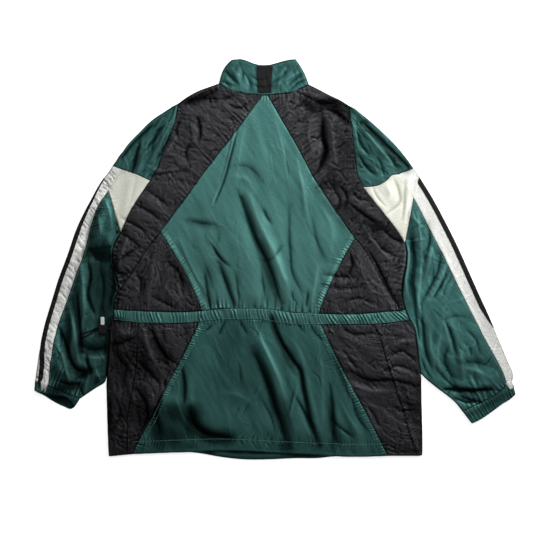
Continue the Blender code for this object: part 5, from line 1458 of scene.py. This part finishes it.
def seam_band(names, side):
    """The strip along a seam where the seam's turned-in cloth is stitched down: a close grid over
    the height map with the band's own relief on it, its two edges tucked into the cloth."""
    run = rail(names)
    line = at(run, np.arange(2.0, lengths(run)[-1] - 8.0, 1.15))
    across = np.linspace(0.2, BAND_WIDTH + 1.0, 12)
    xy = np.stack([beside(line, side * gap) for gap in across], axis=1)
    tuck = np.full(len(across), 0.35)
    tuck[[0, -1]] = -0.5
    grid = on_map(xy, over(band_relief, xy) + tuck)
    return grid if side > 0 else grid[:, ::-1]


made = {}


def sew(name, look, grids, wall=WALL, **settings):
    """Makes the sheet, gives it a wall that grows inwards from the side that shows, and its cloth."""
    piece = surface(name, grids, **settings)
    solid = piece.modifiers.new("wall", "SOLIDIFY")
    solid.thickness = wall * MM
    solid.offset = -1.0
    piece.data.materials.append(CLOTH[look])
    made[name] = piece


for name, (left, right, top, bottom, columns, rows, look) in PANELS.items():
    xy = filled(left, right, top, bottom, columns, rows)
    bands = [seam_band(*row) for row in BANDS.get(name, [])]
    sew(name, look, [on_map(xy, over(side_lift, xy))] + bands)
print(len(made), "panels of the back")

# %% [markdown]
# ## Sleeves
#
# A sleeve's outer edge is a fold, not a cut: cap and stripe go round it to the front. Their top
# and underside are two sheets over the same plan, welded along the fold. The lower sleeve slips a
# few millimetres under the body's edge.

# %% Caps, gussets, stripes and lower sleeves
SLEEVES = {
    # name: left, right, top, bottom (None is straight), columns, rows, cloth, goes round the fold
    "sleeve_cap_left": ("cap_outer_left", "armhole_left", None, "cap_stripe_left cap_gusset_left",
                        52, 76, "dark", True),
    "sleeve_cap_right": ("armhole_right", "cap_outer_right", None, "cap_gusset_right cap_stripe_right",
                         52, 76, "dark", True),
    "sleeve_gusset_left": ("stripe_top_left gusset_edge_left", "underarm_left", "cap_gusset_left", None,
                           40, 70, "white", False),
    "sleeve_gusset_right": ("underarm_right", "stripe_top_right gusset_edge_right", "cap_gusset_right",
                            None, 44, 74, "white", False),
    "sleeve_stripe_left": ("outer_left", "stripe_top_left knee_left", "cap_stripe_left",
                           "cuff_stripe_left", 17, 230, "stripe", True),
    "sleeve_stripe_right": ("stripe_top_right knee_right", "outer_right", "cap_stripe_right",
                            "cuff_stripe_right", 18, 225, "stripe", True),
    "sleeve_back_left": ("knee_left", BODY_LEFT, "gusset_edge_left", "cuff_seam_left",
                         58, 190, "dark", False),
    "sleeve_back_right": (BODY_RIGHT, "knee_right", "-gusset_edge_right", "cuff_seam_right",
                          60, 190, "dark", False),
}
# how far the lower sleeve goes under the body, how high it lies there, and where that ends
TUCK = 5.0
TUCK_HEIGHT = 2.4
TUCK_END = -251
BLOCK_COLUMNS = 8
BLOCK_ROWS = 10
END_BLOCK = {
    # the stripe's turned end, sewn down over the cuff: left, right, top, bottom
    "sleeve_stripe_left": (((-505, -261), (-505, -285)), ((-491, -266), (-491, -288)),
                           ((-505, -261), (-491, -266)), ((-505, -285), (-491, -288))),
    "sleeve_stripe_right": (((496, -268), (506, -281)), ((508, -262), (515, -276)),
                            ((496, -268), (508, -262)), ((506, -281), (515, -276))),
}
for name, (left, right, top, bottom, columns, rows, look, folded) in SLEEVES.items():
    xy = filled(left, right, top, bottom, columns, rows)
    grids, flips = [on_map(xy)], [False]
    if folded:
        grids, flips = grids + [on_table(xy)], [False, True]
    if name in END_BLOCK:
        block = patch(*np.array(END_BLOCK[name], float), BLOCK_COLUMNS, BLOCK_ROWS)
        share = spread(BLOCK_COLUMNS)[None]
        rounded = np.clip(np.minimum(share, 1 - share) * 6, 0, 1)
        grids, flips = grids + [on_map(block, 0.4 + 0.9 * rounded)], flips + [False]
    if name.startswith("sleeve_back"):
        inner, way = (-1, 1) if name.endswith("left") else (0, -1)
        hem = grids[0][:, inner].copy()
        hem[:, 0] += np.clip((xy[:, inner, 1] - TUCK_END) / 12, 0, 1) * TUCK * way
        hem[:, 2] = TUCK_HEIGHT
        order = [grids[0], hem[:, None]] if way > 0 else [hem[:, None], grids[0]]
        grids = [np.concatenate(order, axis=1)]
    sew(name, look, grids, flips=flips, weld=folded, turn=20 if "left" in name else -25)
print(len(SLEEVES), "sleeve pieces")

# %% [markdown]
# ## The elastic waist
#
# A tunnel of cloth with an elastic in it: the cloth is half as long again as the elastic, so it
# stands up in tight little pleats between its two seams. Each pleat is a pillow, highest halfway
# up; the pleats crowd in the middle of the back and spread and slant towards the sides.

# %% Waist casing
CASING_COLUMNS = 520
CASING_ROWS = 13
PLEAT, SMALL_PLEAT, BUNCH = 15.5, 4.4, 31.0
MARGIN = 25
waist_top = "waist_top_side_left waist_top_kite waist_top_side_right waist_top_band_right"
waist_low = (
    "waist_low_outer_left waist_low_side_left waist_low_centre waist_low_side_right "
    "waist_low_outer_right")
xy = filled("casing_end_left", "casing_end_right", waist_top, waist_low, CASING_COLUMNS,
            CASING_ROWS)
s = spread(CASING_COLUMNS)[None]
v = spread(CASING_ROWS)[:, None]
reach = s * lengths(rail(waist_top))[-1]
count = int(reach.max()) + 60
slant = (3.0 + 24.0 * (s - 0.42) ** 2) * (v - 0.5) + 1.5 * np.sin(3 * v + 31 * s)
pleats = pillows(wave_at(reach - slant + MARGIN, 71, count, PLEAT))
small = wave_at(reach + slant + MARGIN, 72, count, SMALL_PLEAT)
tight = 0.9 + 0.3 * wave_at(reach + MARGIN, 73, count, BUNCH)
pillow = np.sin(np.pi * np.clip(v, 0.02, 0.98)) ** 0.55
rise = 1.3 * pillow + tight * (1.3 * pleats + 0.40 * small) * (0.5 + 0.5 * pillow)
rise = rise * np.clip(over(from_edge, xy) / 6, 0, 1)
top_grid = on_map(xy, rise + over(side_lift, xy))
under_grid = on_table(xy)
under_grid[:, [0, -1], 2] = top_grid[:, [0, -1], 2]
sew("waist_casing", "green", [top_grid, under_grid], flips=[False, True], weld=True)
print("casing", round(reach.max()), "mm long when gathered")

# %% [markdown]
# ## Collar and cuffs
#
# Both are flattened tubes. The collar is folded over at its top edge as well, so its two sheets
# are welded on three sides. Ribs run up the cuffs, where an elastic draws the sleeve together; the
# left one has been left a little open.

# %% Collar
neck = "neck_left neck_mid neck_right"
xy = filled("-collar_left", "-collar_right", "collar_top", neck, 84, 34)
fade = np.clip(over(from_edge, xy) / 5, 0, 1)
crumple = fade * (0.35 * over(grain(81, 14, 4, 65), xy) + 0.35 * over(grain(82, 6, 2.0, 110), xy))
sew("collar", "dark", [on_map(xy, crumple + 0.6 * fade), on_table(xy)], flips=[False, True], weld=True)

# %% Cuffs
CUFFS = {
    # name: left, right, top, bottom, bottom of the front layer, how far the mouth stands open
    "cuff_left": ("cuff_outer_left", "cuff_inner_left", "cuff_stripe_left cuff_seam_left", "mouth_left",
                  "mouth_front_left", 3.5),
    "cuff_right": ("cuff_inner_right", "cuff_outer_right", "cuff_seam_right cuff_stripe_right",
                   "mouth_right", "mouth_right", 0.5),
}
CUFF_COLUMNS = 116
CUFF_ROWS = 14
CUFF_LENGTH, RIB = 110, 6.5
for name, (left, right, top, bottom, front, mouth) in CUFFS.items():
    xy = filled(left, right, top, bottom, CUFF_COLUMNS, CUFF_ROWS)
    under_grid = on_table(filled(left, right, top, front, CUFF_COLUMNS, CUFF_ROWS))
    s, v = spread(CUFF_COLUMNS)[None], spread(CUFF_ROWS)[:, None]
    ribs = wave_at(s * CUFF_LENGTH + 10, 91, CUFF_LENGTH + 30, RIB)
    fade = np.clip(over(from_edge, xy) / 4, 0, 1)
    ends = np.clip(np.sin(np.pi * s) * 4, 0, 1)
    lift = 0.9 * ribs * ends * (0.4 + 0.6 * v) * np.maximum(fade, v) + mouth * v**2 * ends
    top_grid = on_map(xy, lift)
    under_grid[:, [0, -1], 2] = top_grid[:, [0, -1], 2]
    sew(name, "dark", [top_grid, under_grid], flips=[False, True], weld=True,
        turn=20 if "left" in name else -30)
print("collar and", len(CUFFS), "cuffs")

# %% [markdown]
# ## The front, and the zip
#
# The front lies face down on the table, so it is flat and plain: one sheet for the upper front,
# one for its skirt, one for each lower sleeve. Its hem shows below the back's hem. Under the
# collar a short zip is closed: a tape with two rows of teeth.

# %% Front sheets
FRONTS = {
    # name: left, right, top, bottom, columns, rows, cloth
    "front_upper": ("shoulder_left armhole_left underarm_left side_left side_left_low",
                    "shoulder_right armhole_right underarm_right side_right", neck, waist_top,
                    50, 44, "black"),
    "front_skirt": ("skirt_edge_left skirt_edge_left_low", "skirt_edge_right skirt_edge_right_low",
                    waist_low, "hem_front", 110, 30, "skirt"),
    "sleeve_front_left": ("stripe_top_left knee_left", "underarm_left " + BODY_LEFT, "cap_gusset_left",
                          "cuff_seam_left", 20, 70, "dark"),
    "sleeve_front_right": ("underarm_right " + BODY_RIGHT, "stripe_top_right knee_right",
                           "cap_gusset_right", "cuff_seam_right", 20, 70, "dark"),
}
FRONT_LEVEL = 1.3
SKIRT_RISE = 0.5
front_waves = np.clip(grain(51, 30, 9, 95), -1.5, 1.5)
for name, (left, right, top, bottom, columns, rows, look) in FRONTS.items():
    xy = filled(left, right, top, bottom, columns, rows)
    z = FRONT_LEVEL + 0.25 * over(front_waves, xy)
    if name == "front_skirt":
        z = z + SKIRT_RISE
    sew(name, look, [with_height(xy, z)])
print(len(FRONTS), "front sheets")

# %% Zip
ZIP_X = -22.0
ZIP_TOP, ZIP_LOW = 412.0, 64.0
ZIP_HALF = 7
TAPE_WALL = 0.5
TOOTH = (2.6, 1.3, 0.5)
TOOTH_PITCH = 2.6
TOOTH_SIDE = 0.8
TOOTH_HEIGHT = 0.26


def boxes(name, centres, size, turns=None, taper=1.0):
    """One mesh of many small blocks: eight corners of a unit block, scaled, turned in plan by each
    block's angle and moved to its centre. The upper face is smaller than the lower by taper."""
    unit = np.array([(x, y, z) for z in (-0.5, 0.5) for y in (-0.5, 0.5) for x in (-0.5, 0.5)])
    unit[4:, :2] *= taper
    corners = unit * size
    turns = np.zeros(len(centres)) if turns is None else turns
    c, s = np.cos(turns)[:, None], np.sin(turns)[:, None]
    x = c * corners[:, 0] - s * corners[:, 1]
    y = s * corners[:, 0] + c * corners[:, 1]
    points = np.stack([x, y, np.broadcast_to(corners[:, 2], x.shape)], axis=2) + centres[:, None]
    quads = np.array([(0, 2, 3, 1), (4, 5, 7, 6), (0, 1, 5, 4), (2, 6, 7, 3), (0, 4, 6, 2),
                      (1, 3, 7, 5)])
    faces = (quads[None] + 8 * np.arange(len(centres))[:, None, None]).reshape(-1, 4)
    mesh = bpy.data.meshes.new(name)
    mesh.from_pydata(points.reshape(-1, 3) * MM, [], faces.tolist())
    return in_scene(name, mesh)


u, v = np.meshgrid(np.linspace(-ZIP_HALF, ZIP_HALF, 9), np.linspace(ZIP_TOP, ZIP_LOW, 120))
zip_grid = with_height(np.stack([ZIP_X + u, v], axis=2), 0.95 + 0.05 * np.cos(u))
sew("front_zip", "tape", [zip_grid], wall=TAPE_WALL)
rows_y = np.arange(ZIP_LOW + 6, ZIP_TOP - 2, TOOTH_PITCH / 2)
left_right = np.where(np.arange(len(rows_y)) % 2, TOOTH_SIDE, -TOOTH_SIDE)
teeth = np.stack([ZIP_X + left_right, rows_y, np.full(len(rows_y), TOOTH_HEIGHT)], axis=1)
made["zip_teeth"] = boxes("zip_teeth", teeth, TOOTH)
print(len(teeth), "zip teeth")

# %% [markdown]
# ## Tape and tab
#
# A black tape is sewn along the outer fold of each white stripe, and a black tab over the middle
# of the collar. Both are plain, thicker than the cloth, and follow what they are sewn to.

# %% Sleeve tapes and collar tab
TAPES = {
    # side: first and last place along the outer fold in mm, turn towards the sleeve
    "left": (33.0, 519.0, 1.0),
    "right": (23.0, 385.0, -1.0),
}
TAPE_RISE = 0.7
for side, (first, last, inwards) in TAPES.items():
    fold = rail("outer_left cuff_outer_left") if side == "left" else rail("outer_right")
    reach = np.linspace(first, last, 240)
    line = at(fold, reach)
    share = (reach - first) / (last - first)
    if side == "left":
        outer = -1.0 + 6.0 * np.clip((reach - 415) / 50, 0, 1)
        width = 3.0 + 6.0 * np.clip(share * 3.5, 0, 1) + 0.6 * share
    else:
        outer = np.full(len(reach), -0.6)
        width = 10.0 * np.clip((1 - share) * 7, 0.05, 1) ** 0.6 * np.clip(share * 30 + 0.3, 0, 1)
    across = [beside(line, inwards * (outer + width * t)) for t in np.linspace(0, 1, 8)]
    grid = on_map(np.stack(across, axis=1), TAPE_RISE)
    grid[:, 0, 2] = np.where(outer > 0.5, grid[:, 0, 2] - 0.5, 2.2)
    if inwards < 0:
        grid = grid[:, ::-1]
    sew("sleeve_tape_" + side, "tape", [grid], wall=TAPE_WALL)

TAB_COLUMNS, TAB_ROWS = 22, 34
TAB_WALL = 0.9
TAB = (((-39, 415), (-36, 358.5)), ((-5, 415), (-8, 358.5)),
       ((-39, 415), (-5, 415)), ((-36, 358.5), (-8, 358.5)))
xy = patch(*np.array(TAB), TAB_COLUMNS, TAB_ROWS)
u, v = spread(TAB_COLUMNS)[None], spread(TAB_ROWS)[:, None]
crowned = 2.6 + 0.5 * (np.sin(np.pi * u) * np.sin(np.pi * v)) ** 0.4
crowned = crowned + 0.3 * over(grain(83, 9, 3, 100), xy)
sew("collar_tab", "tape", [on_map(xy, crowned)], wall=TAB_WALL)
print("two tapes and the tab")

# %% [markdown]
# ## Drawcord and its lock
#
# The waist's elastic cord comes out of the casing's left end, runs through the lock, turns round
# and goes back in: one loop, 2.8 mm thick and braided. It is a tube round a smooth curve; inside
# the lock it keeps the lock's middle height, and elsewhere it lies on the cloth. The braid is two
# sets of strands that cross, a small rise and fall of the radius.

# %% Cord
CORD_RADIUS = 1.4
CORD_CLEAR = 0.25
BRAID_PITCH = 6.0
CORD_ROUTE = [  # x, y, and 1 where the cord is inside the lock
    (-349.2, -121.0, 0), (-353.6, -126.0, 0), (-356.0, -133.5, 0), (-357.0, -140.0, 1),
    (-359.4, -145.6, 1), (-364.0, -147.5, 1), (-371.0, -147.6, 1), (-379.0, -147.7, 1),
    (-384, -148.6, 1), (-391.0, -151.4, 0), (-400.0, -155.0, 0), (-409.0, -158.4, 0),
    (-415, -161.6, 0), (-414.6, -166.4, 0), (-408.4, -166.4, 0), (-400.0, -161.6, 0),
    (-391, -156.0, 0), (-384.0, -152.4, 1), (-379.0, -151.4, 1), (-371.0, -151.3, 1),
    (-363.6, -151.3, 1), (-357.4, -150.4, 1), (-352.8, -145.6, 0), (-351.2, -138.0, 0),
    (-350.8, -132.0, 0), (-349.2, -127.6, 0)]
lock_low, lock_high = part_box("cord_lock")
lock_middle = (lock_low.z + lock_high.z) / 2 / MM
route = np.array(CORD_ROUTE)
under_cord = np.array([(dx, dy) for dx in (-2, 0, 2) for dy in (-2, 0, 2)])
lying = over(height, route[None, :, :2] + under_cord[:, None]).max(axis=0) + CORD_RADIUS + CORD_CLEAR
route_z = np.where(route[:, 2] > 0, lock_middle, lying)
cord_path = smooth(np.column_stack([route[:, :2], route_z]), 9)


def tube(name, path, radius, around=16, braid=0.0):
    """A tube on a path: at each point a circle in the plane square to it, its radius changed by
    braid * cos(strand) * cos(other strand)."""
    reach = lengths(path)
    fine = at(path, np.linspace(0, reach[-1], int(reach[-1] / 0.7)))
    along = np.gradient(fine, axis=0)
    along /= np.linalg.norm(along, axis=1)[:, None]
    side = np.cross(along, (0, 0, 1))
    side /= np.linalg.norm(side, axis=1)[:, None]
    up = np.cross(side, along)
    turn = np.linspace(0, 2 * np.pi, around, endpoint=False)[None]
    s = np.linspace(0, reach[-1], len(fine))[:, None]
    strand = np.cos(4 * turn + 2 * np.pi * s / BRAID_PITCH) * np.cos(4 * turn - 2 * np.pi * s / BRAID_PITCH)
    thick = radius * (1 + braid * strand)[..., None]
    circle = np.cos(turn)[..., None] * side[:, None] + np.sin(turn)[..., None] * up[:, None]
    rings = fine[:, None] + thick * circle
    count = len(fine)
    i, j = np.meshgrid(np.arange(count - 1), np.arange(around), indexing="ij")
    a, b = i * around + j, i * around + (j + 1) % around
    quads = np.stack([a, b, b + around, a + around], axis=2).reshape(-1, 4)
    caps = [list(range(around))[::-1], list(range((count - 1) * around, count * around))]
    mesh = bpy.data.meshes.new(name)
    mesh.from_pydata(rings.reshape(-1, 3) * MM, [], quads.tolist() + caps)
    work = bmesh.new()
    work.from_mesh(mesh)
    bmesh.ops.recalc_face_normals(work, faces=work.faces)
    work.to_mesh(mesh)
    work.free()
    shade_smooth(mesh)
    return in_scene(name, mesh)


made["drawcord"] = tube("drawcord_braid", cord_path, CORD_RADIUS, braid=0.07)

# %% Plastic, cord and thread
def grained_group():
    """Object place in mm in; a tone that wanders a little, roughness and relief out."""
    tree, given, result = new_group(
        "fine_grain", [("Place", "Vector", None), ("Color", "Color", (0.1, 0.1, 0.1, 1)),
                       ("Size", "Float", 1.0), ("Depth", "Float", 0.05), ("Rough", "Float", 0.4)],
        [("Color", "Color"), ("Roughness", "Float"), ("Relief", "Float")])
    fine = noise(tree, given.outputs["Place"], given.outputs["Size"], 3.0)
    colour = shaded(tree, given.outputs["Color"], scaled(tree, fine, 0.4, 0.8))
    tree.links.new(colour, result.inputs["Color"])
    tree.links.new(scaled(tree, fine, 0.15, given.outputs["Rough"]), result.inputs["Roughness"])
    tree.links.new(times(tree, fine, given.outputs["Depth"]), result.inputs["Relief"])
    return tree


GRAINED = grained_group()


def hard_material(name, colour, size, depth, rough, specular=0.5):
    """Plastic, cord or thread: size is the grain's lumps in a mm, depth its relief in mm."""
    material, tree, shader = start_material(name)
    place = in_mm(tree, node(tree, "TexCoord").outputs["Object"])
    join_group(tree, shader, node(tree, "Group", {
        "Place": place, "Color": (*colour, 1), "Size": size, "Depth": depth, "Rough": rough},
        node_tree=GRAINED))
    shader.inputs["Specular IOR Level"].default_value = specular
    return material


HARD = {
    "cord": hard_material("cord_black", (0.006, 0.006, 0.007), 3.0, 0.12, 0.7, specular=0.1),
    "lock": hard_material("plastic_black", (0.006, 0.006, 0.007), 1.2, 0.03, 0.42, specular=0.2),
    "button": hard_material("plastic_pale", (0.62, 0.63, 0.60), 1.2, 0.03, 0.3),
    "teeth": hard_material("zip_black", (0.012, 0.012, 0.012), 2.0, 0.02, 0.35),
    "thread_green": hard_material("thread_green", (0.085, 0.230, 0.200), 2.5, 0.05, 0.5),
    "thread_black": hard_material("thread_black", (0.006, 0.006, 0.007), 2.5, 0.05, 0.5),
    "thread_white": hard_material("thread_white", (0.60, 0.60, 0.52), 2.5, 0.05, 0.5),
}
made["drawcord"].data.materials.append(HARD["cord"])
made["zip_teeth"].data.materials.append(HARD["teeth"])
for name, look in (("cord_lock", "lock"), ("cord_lock_button", "button")):
    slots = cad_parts[name].data.materials
    for k in range(len(slots)):
        slots[k] = HARD[look]
print(len(HARD), "hard finishes")

# %% [markdown]
# ## Topstitching
#
# Most seams are held flat by one or two rows of stitches a few millimetres beside them. A row is
# a line moved sideways; along it every stitch is one small block of thread that lies half in the
# cloth, and all the stitches of one colour are one mesh.

# %% Stitches
STITCH_SIZE = (3.1, 0.9, 0.6)
STITCH_HEIGHT = 0.35
CASING_HEIGHT = 0.9
ROW_END = 4.0
RIGHT_ROWS = tuple(-gap for gap in BAND_ROWS)
ROWS = {
    # colour: (lines, distances to the left of the run)
    "green": [("kite_left_lower", BAND_ROWS), ("kite_right_lower", RIGHT_ROWS),
              ("skirt_seam_left", BAND_ROWS), ("skirt_seam_right", RIGHT_ROWS),
              ("hem_centre", (HEM,)), ("knee_left", (3.0,)), ("knee_right", (-3.0,)),
              (neck, (3.0,)), ("collar_top", (-5.0,)), (waist_top, (-2.2,)), (waist_low, (2.2,))],
    "black": [("kite_left_upper", (-2.5, -8.5)), ("kite_right_upper", (2.5, 8.5)),
              ("armhole_left", (2.5, 8.5)), ("armhole_right", (-2.5, -8.5)),
              ("band_seam_left", (-2.5,)), ("band_seam_right", (2.5,)),
              ("outer_seam_left", (2.5,)), ("outer_seam_right", (-2.5,)),
              ("hem_outer_left hem_side_left", (HEM,)), ("hem_side_right hem_outer_right", (HEM,)),
              ("underarm_left", (2.5,)), ("underarm_right", (-2.5,))],
    "white": [("cap_gusset_left", (-2.5,)), ("cap_gusset_right", (-2.5,)),
              ("stripe_top_left", (2.5,)), ("stripe_top_right", (-2.5,)),
              ("gusset_edge_left", (2.5,)), ("gusset_edge_right", (-2.5,))],
}
for colour, rows in ROWS.items():
    centres, turns = [], []
    for names, gaps in rows:
        for gap in gaps:
            run = beside(rail(names), gap)
            places = np.arange(ROW_END, lengths(run)[-1] - ROW_END, STITCH_PITCH)
            spot, ahead = at(run, places), at(run, places + 1.0)
            heading = np.arctan2(*(ahead - spot).T[::-1])
            z = over(shown + side_lift, spot) + STITCH_HEIGHT
            if names in (waist_top, waist_low):
                z = z + CASING_HEIGHT
            centres.append(np.column_stack([spot, z]))
            turns.append(heading)
    name = "stitches_" + colour
    made[name] = boxes(name, np.vstack(centres), STITCH_SIZE, np.concatenate(turns), taper=0.6)
    made[name].data.materials.append(HARD["thread_" + colour])
    print(name, len(np.vstack(centres)))

# %% [markdown]
# ## The pieces on one body
#
# Every piece rides on the one body and stands for the solid of the same name, which is hidden.
# The width, length and true area of each cloth piece's flat cut, in metres, are listed below, and
# its width and length are printed with the area it lies on. The gathered pieces were cut larger
# than they lie.

# %% Attach every piece and print its cut
SLOTS = {"green": "nylon_green", "skirt": "nylon_green", "dark": "nylon_green_dark",
         "black": "nylon_black", "white": "nylon_white", "stripe": "nylon_white", "tape": "tape_black"}
SLOT_OF = {CLOTH[look].name: slot for look, slot in SLOTS.items()}
CUTS = {
    # piece: width and length of the flat cut and its area, in metres, and how it is held
    "back_kite": (0.42, 0.475, 0.126, "laid"),
    "back_band_left": (0.14, 0.52, 0.047, "laid"),
    "back_band_right": (0.14, 0.53, 0.049, "laid"),
    "back_side_left": (0.19, 0.175, 0.0195, "laid"),
    "back_side_right": (0.18, 0.165, 0.0163, "laid"),
    "skirt_centre": (0.55, 0.30, 0.130, "laid"),
    "skirt_side_left": (0.16, 0.285, 0.0225, "laid"),
    "skirt_side_right": (0.21, 0.285, 0.0270, "laid"),
    "skirt_outer_left": (0.07, 0.29, 0.0160, "laid"),
    "skirt_outer_right": (0.105, 0.29, 0.0163, "laid"),
    "sleeve_cap_left": (0.20, 0.20, 0.0210, "folded"),
    "sleeve_cap_right": (0.21, 0.21, 0.0258, "folded"),
    "sleeve_gusset_left": (0.09, 0.135, 0.0060, "laid"),
    "sleeve_gusset_right": (0.108, 0.147, 0.0077, "laid"),
    "sleeve_stripe_left": (0.056, 0.51, 0.0265, "folded"),
    "sleeve_stripe_right": (0.064, 0.51, 0.0308, "folded"),
    "sleeve_back_left": (0.17, 0.46, 0.046, "laid"),
    "sleeve_back_right": (0.17, 0.50, 0.056, "laid"),
    "waist_casing": (1.70, 0.026, 0.0440, "gathered"),
    "collar": (0.36, 0.075, 0.0245, "folded"),
    "cuff_left": (0.25, 0.024, 0.0060, "gathered"),
    "cuff_right": (0.25, 0.024, 0.0060, "gathered"),
    "front_upper": (0.64, 0.50, 0.241, "laid"),
    "front_skirt": (0.68, 0.30, 0.193, "laid"),
    "sleeve_front_left": (0.15, 0.50, 0.044, "laid"),
    "sleeve_front_right": (0.17, 0.51, 0.056, "laid"),
    "front_zip": (0.014, 0.348, 0.0048, "laid"),
    "sleeve_tape_left": (0.010, 0.49, 0.0047, "laid"),
    "sleeve_tape_right": (0.011, 0.37, 0.0040, "laid"),
    "collar_tab": (0.034, 0.057, 0.0018, "laid"),
}


for name, piece in made.items():
    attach(piece, "root")
    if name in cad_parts:
        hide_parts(name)
    slot = SLOT_OF.get(piece.data.materials[0].name)
    if slot:
        width, length, area, held = CUTS[name]
        lies = sum(face.area for face in piece.data.polygons)
        print(f"{name}: cut {width:.3f} x {length:.3f} m, lies on {lies:.4f} m2")

# %% [markdown]
# ## Table and light
#
# The table is white and shadowless, as in a shop's picture: it glows a little of its own. A big
# soft light hangs over the garment and a second one stands to the upper right, so that flat cloth
# reflects light to the camera and every slope away from it goes dark.

# %% Floor, lights and world
FLOOR_HALF = 4
floor_mesh = bpy.data.meshes.new("floor")
corners = [(x * FLOOR_HALF, y * FLOOR_HALF, -MM) for x, y in ((-1, -1), (1, -1), (1, 1), (-1, 1))]
floor_mesh.from_pydata(corners, [], [(0, 1, 2, 3)])
floor = in_scene("floor", floor_mesh)
floor_material, _, shader = start_material("white_table")
shader.inputs["Base Color"].default_value = (0.9, 0.9, 0.9, 1)
shader.inputs["Roughness"].default_value = 0.9
shader.inputs["Emission Color"].default_value = (1, 1, 1, 1)
shader.inputs["Emission Strength"].default_value = 0.75
floor_mesh.materials.append(floor_material)


def softbox(name, place, aim, size, power):
    """A square light of so many watts at a place, turned to face the aim."""
    light = bpy.data.lights.new(name, "AREA")
    light.shape = "RECTANGLE"
    light.size, light.size_y = size
    light.energy = power
    lamp = in_scene(name, light)
    lamp.location = place
    way = np.array(place, float) - np.array(aim, float)
    across = math.hypot(way[0], way[1])
    lamp.rotation_euler = (math.atan2(across, way[2]), 0, math.atan2(way[1], way[0]) + math.pi / 2)


softbox("over", (-0.3, 0.7, 1.6), (0, 0, 0), (1.0, 1.0), 7)
softbox("key", (1.3, 1.3, 1.1), (0, 0, 0), (0.7, 0.7), 54)
world = bpy.data.worlds.new("room")
world.use_nodes = True
world.node_tree.nodes["Background"].inputs["Color"].default_value = (1, 1, 1, 1)
world.node_tree.nodes["Background"].inputs["Strength"].default_value = 0.10
bpy.context.scene.world = world
bpy.context.scene.view_settings.view_transform = "Standard"
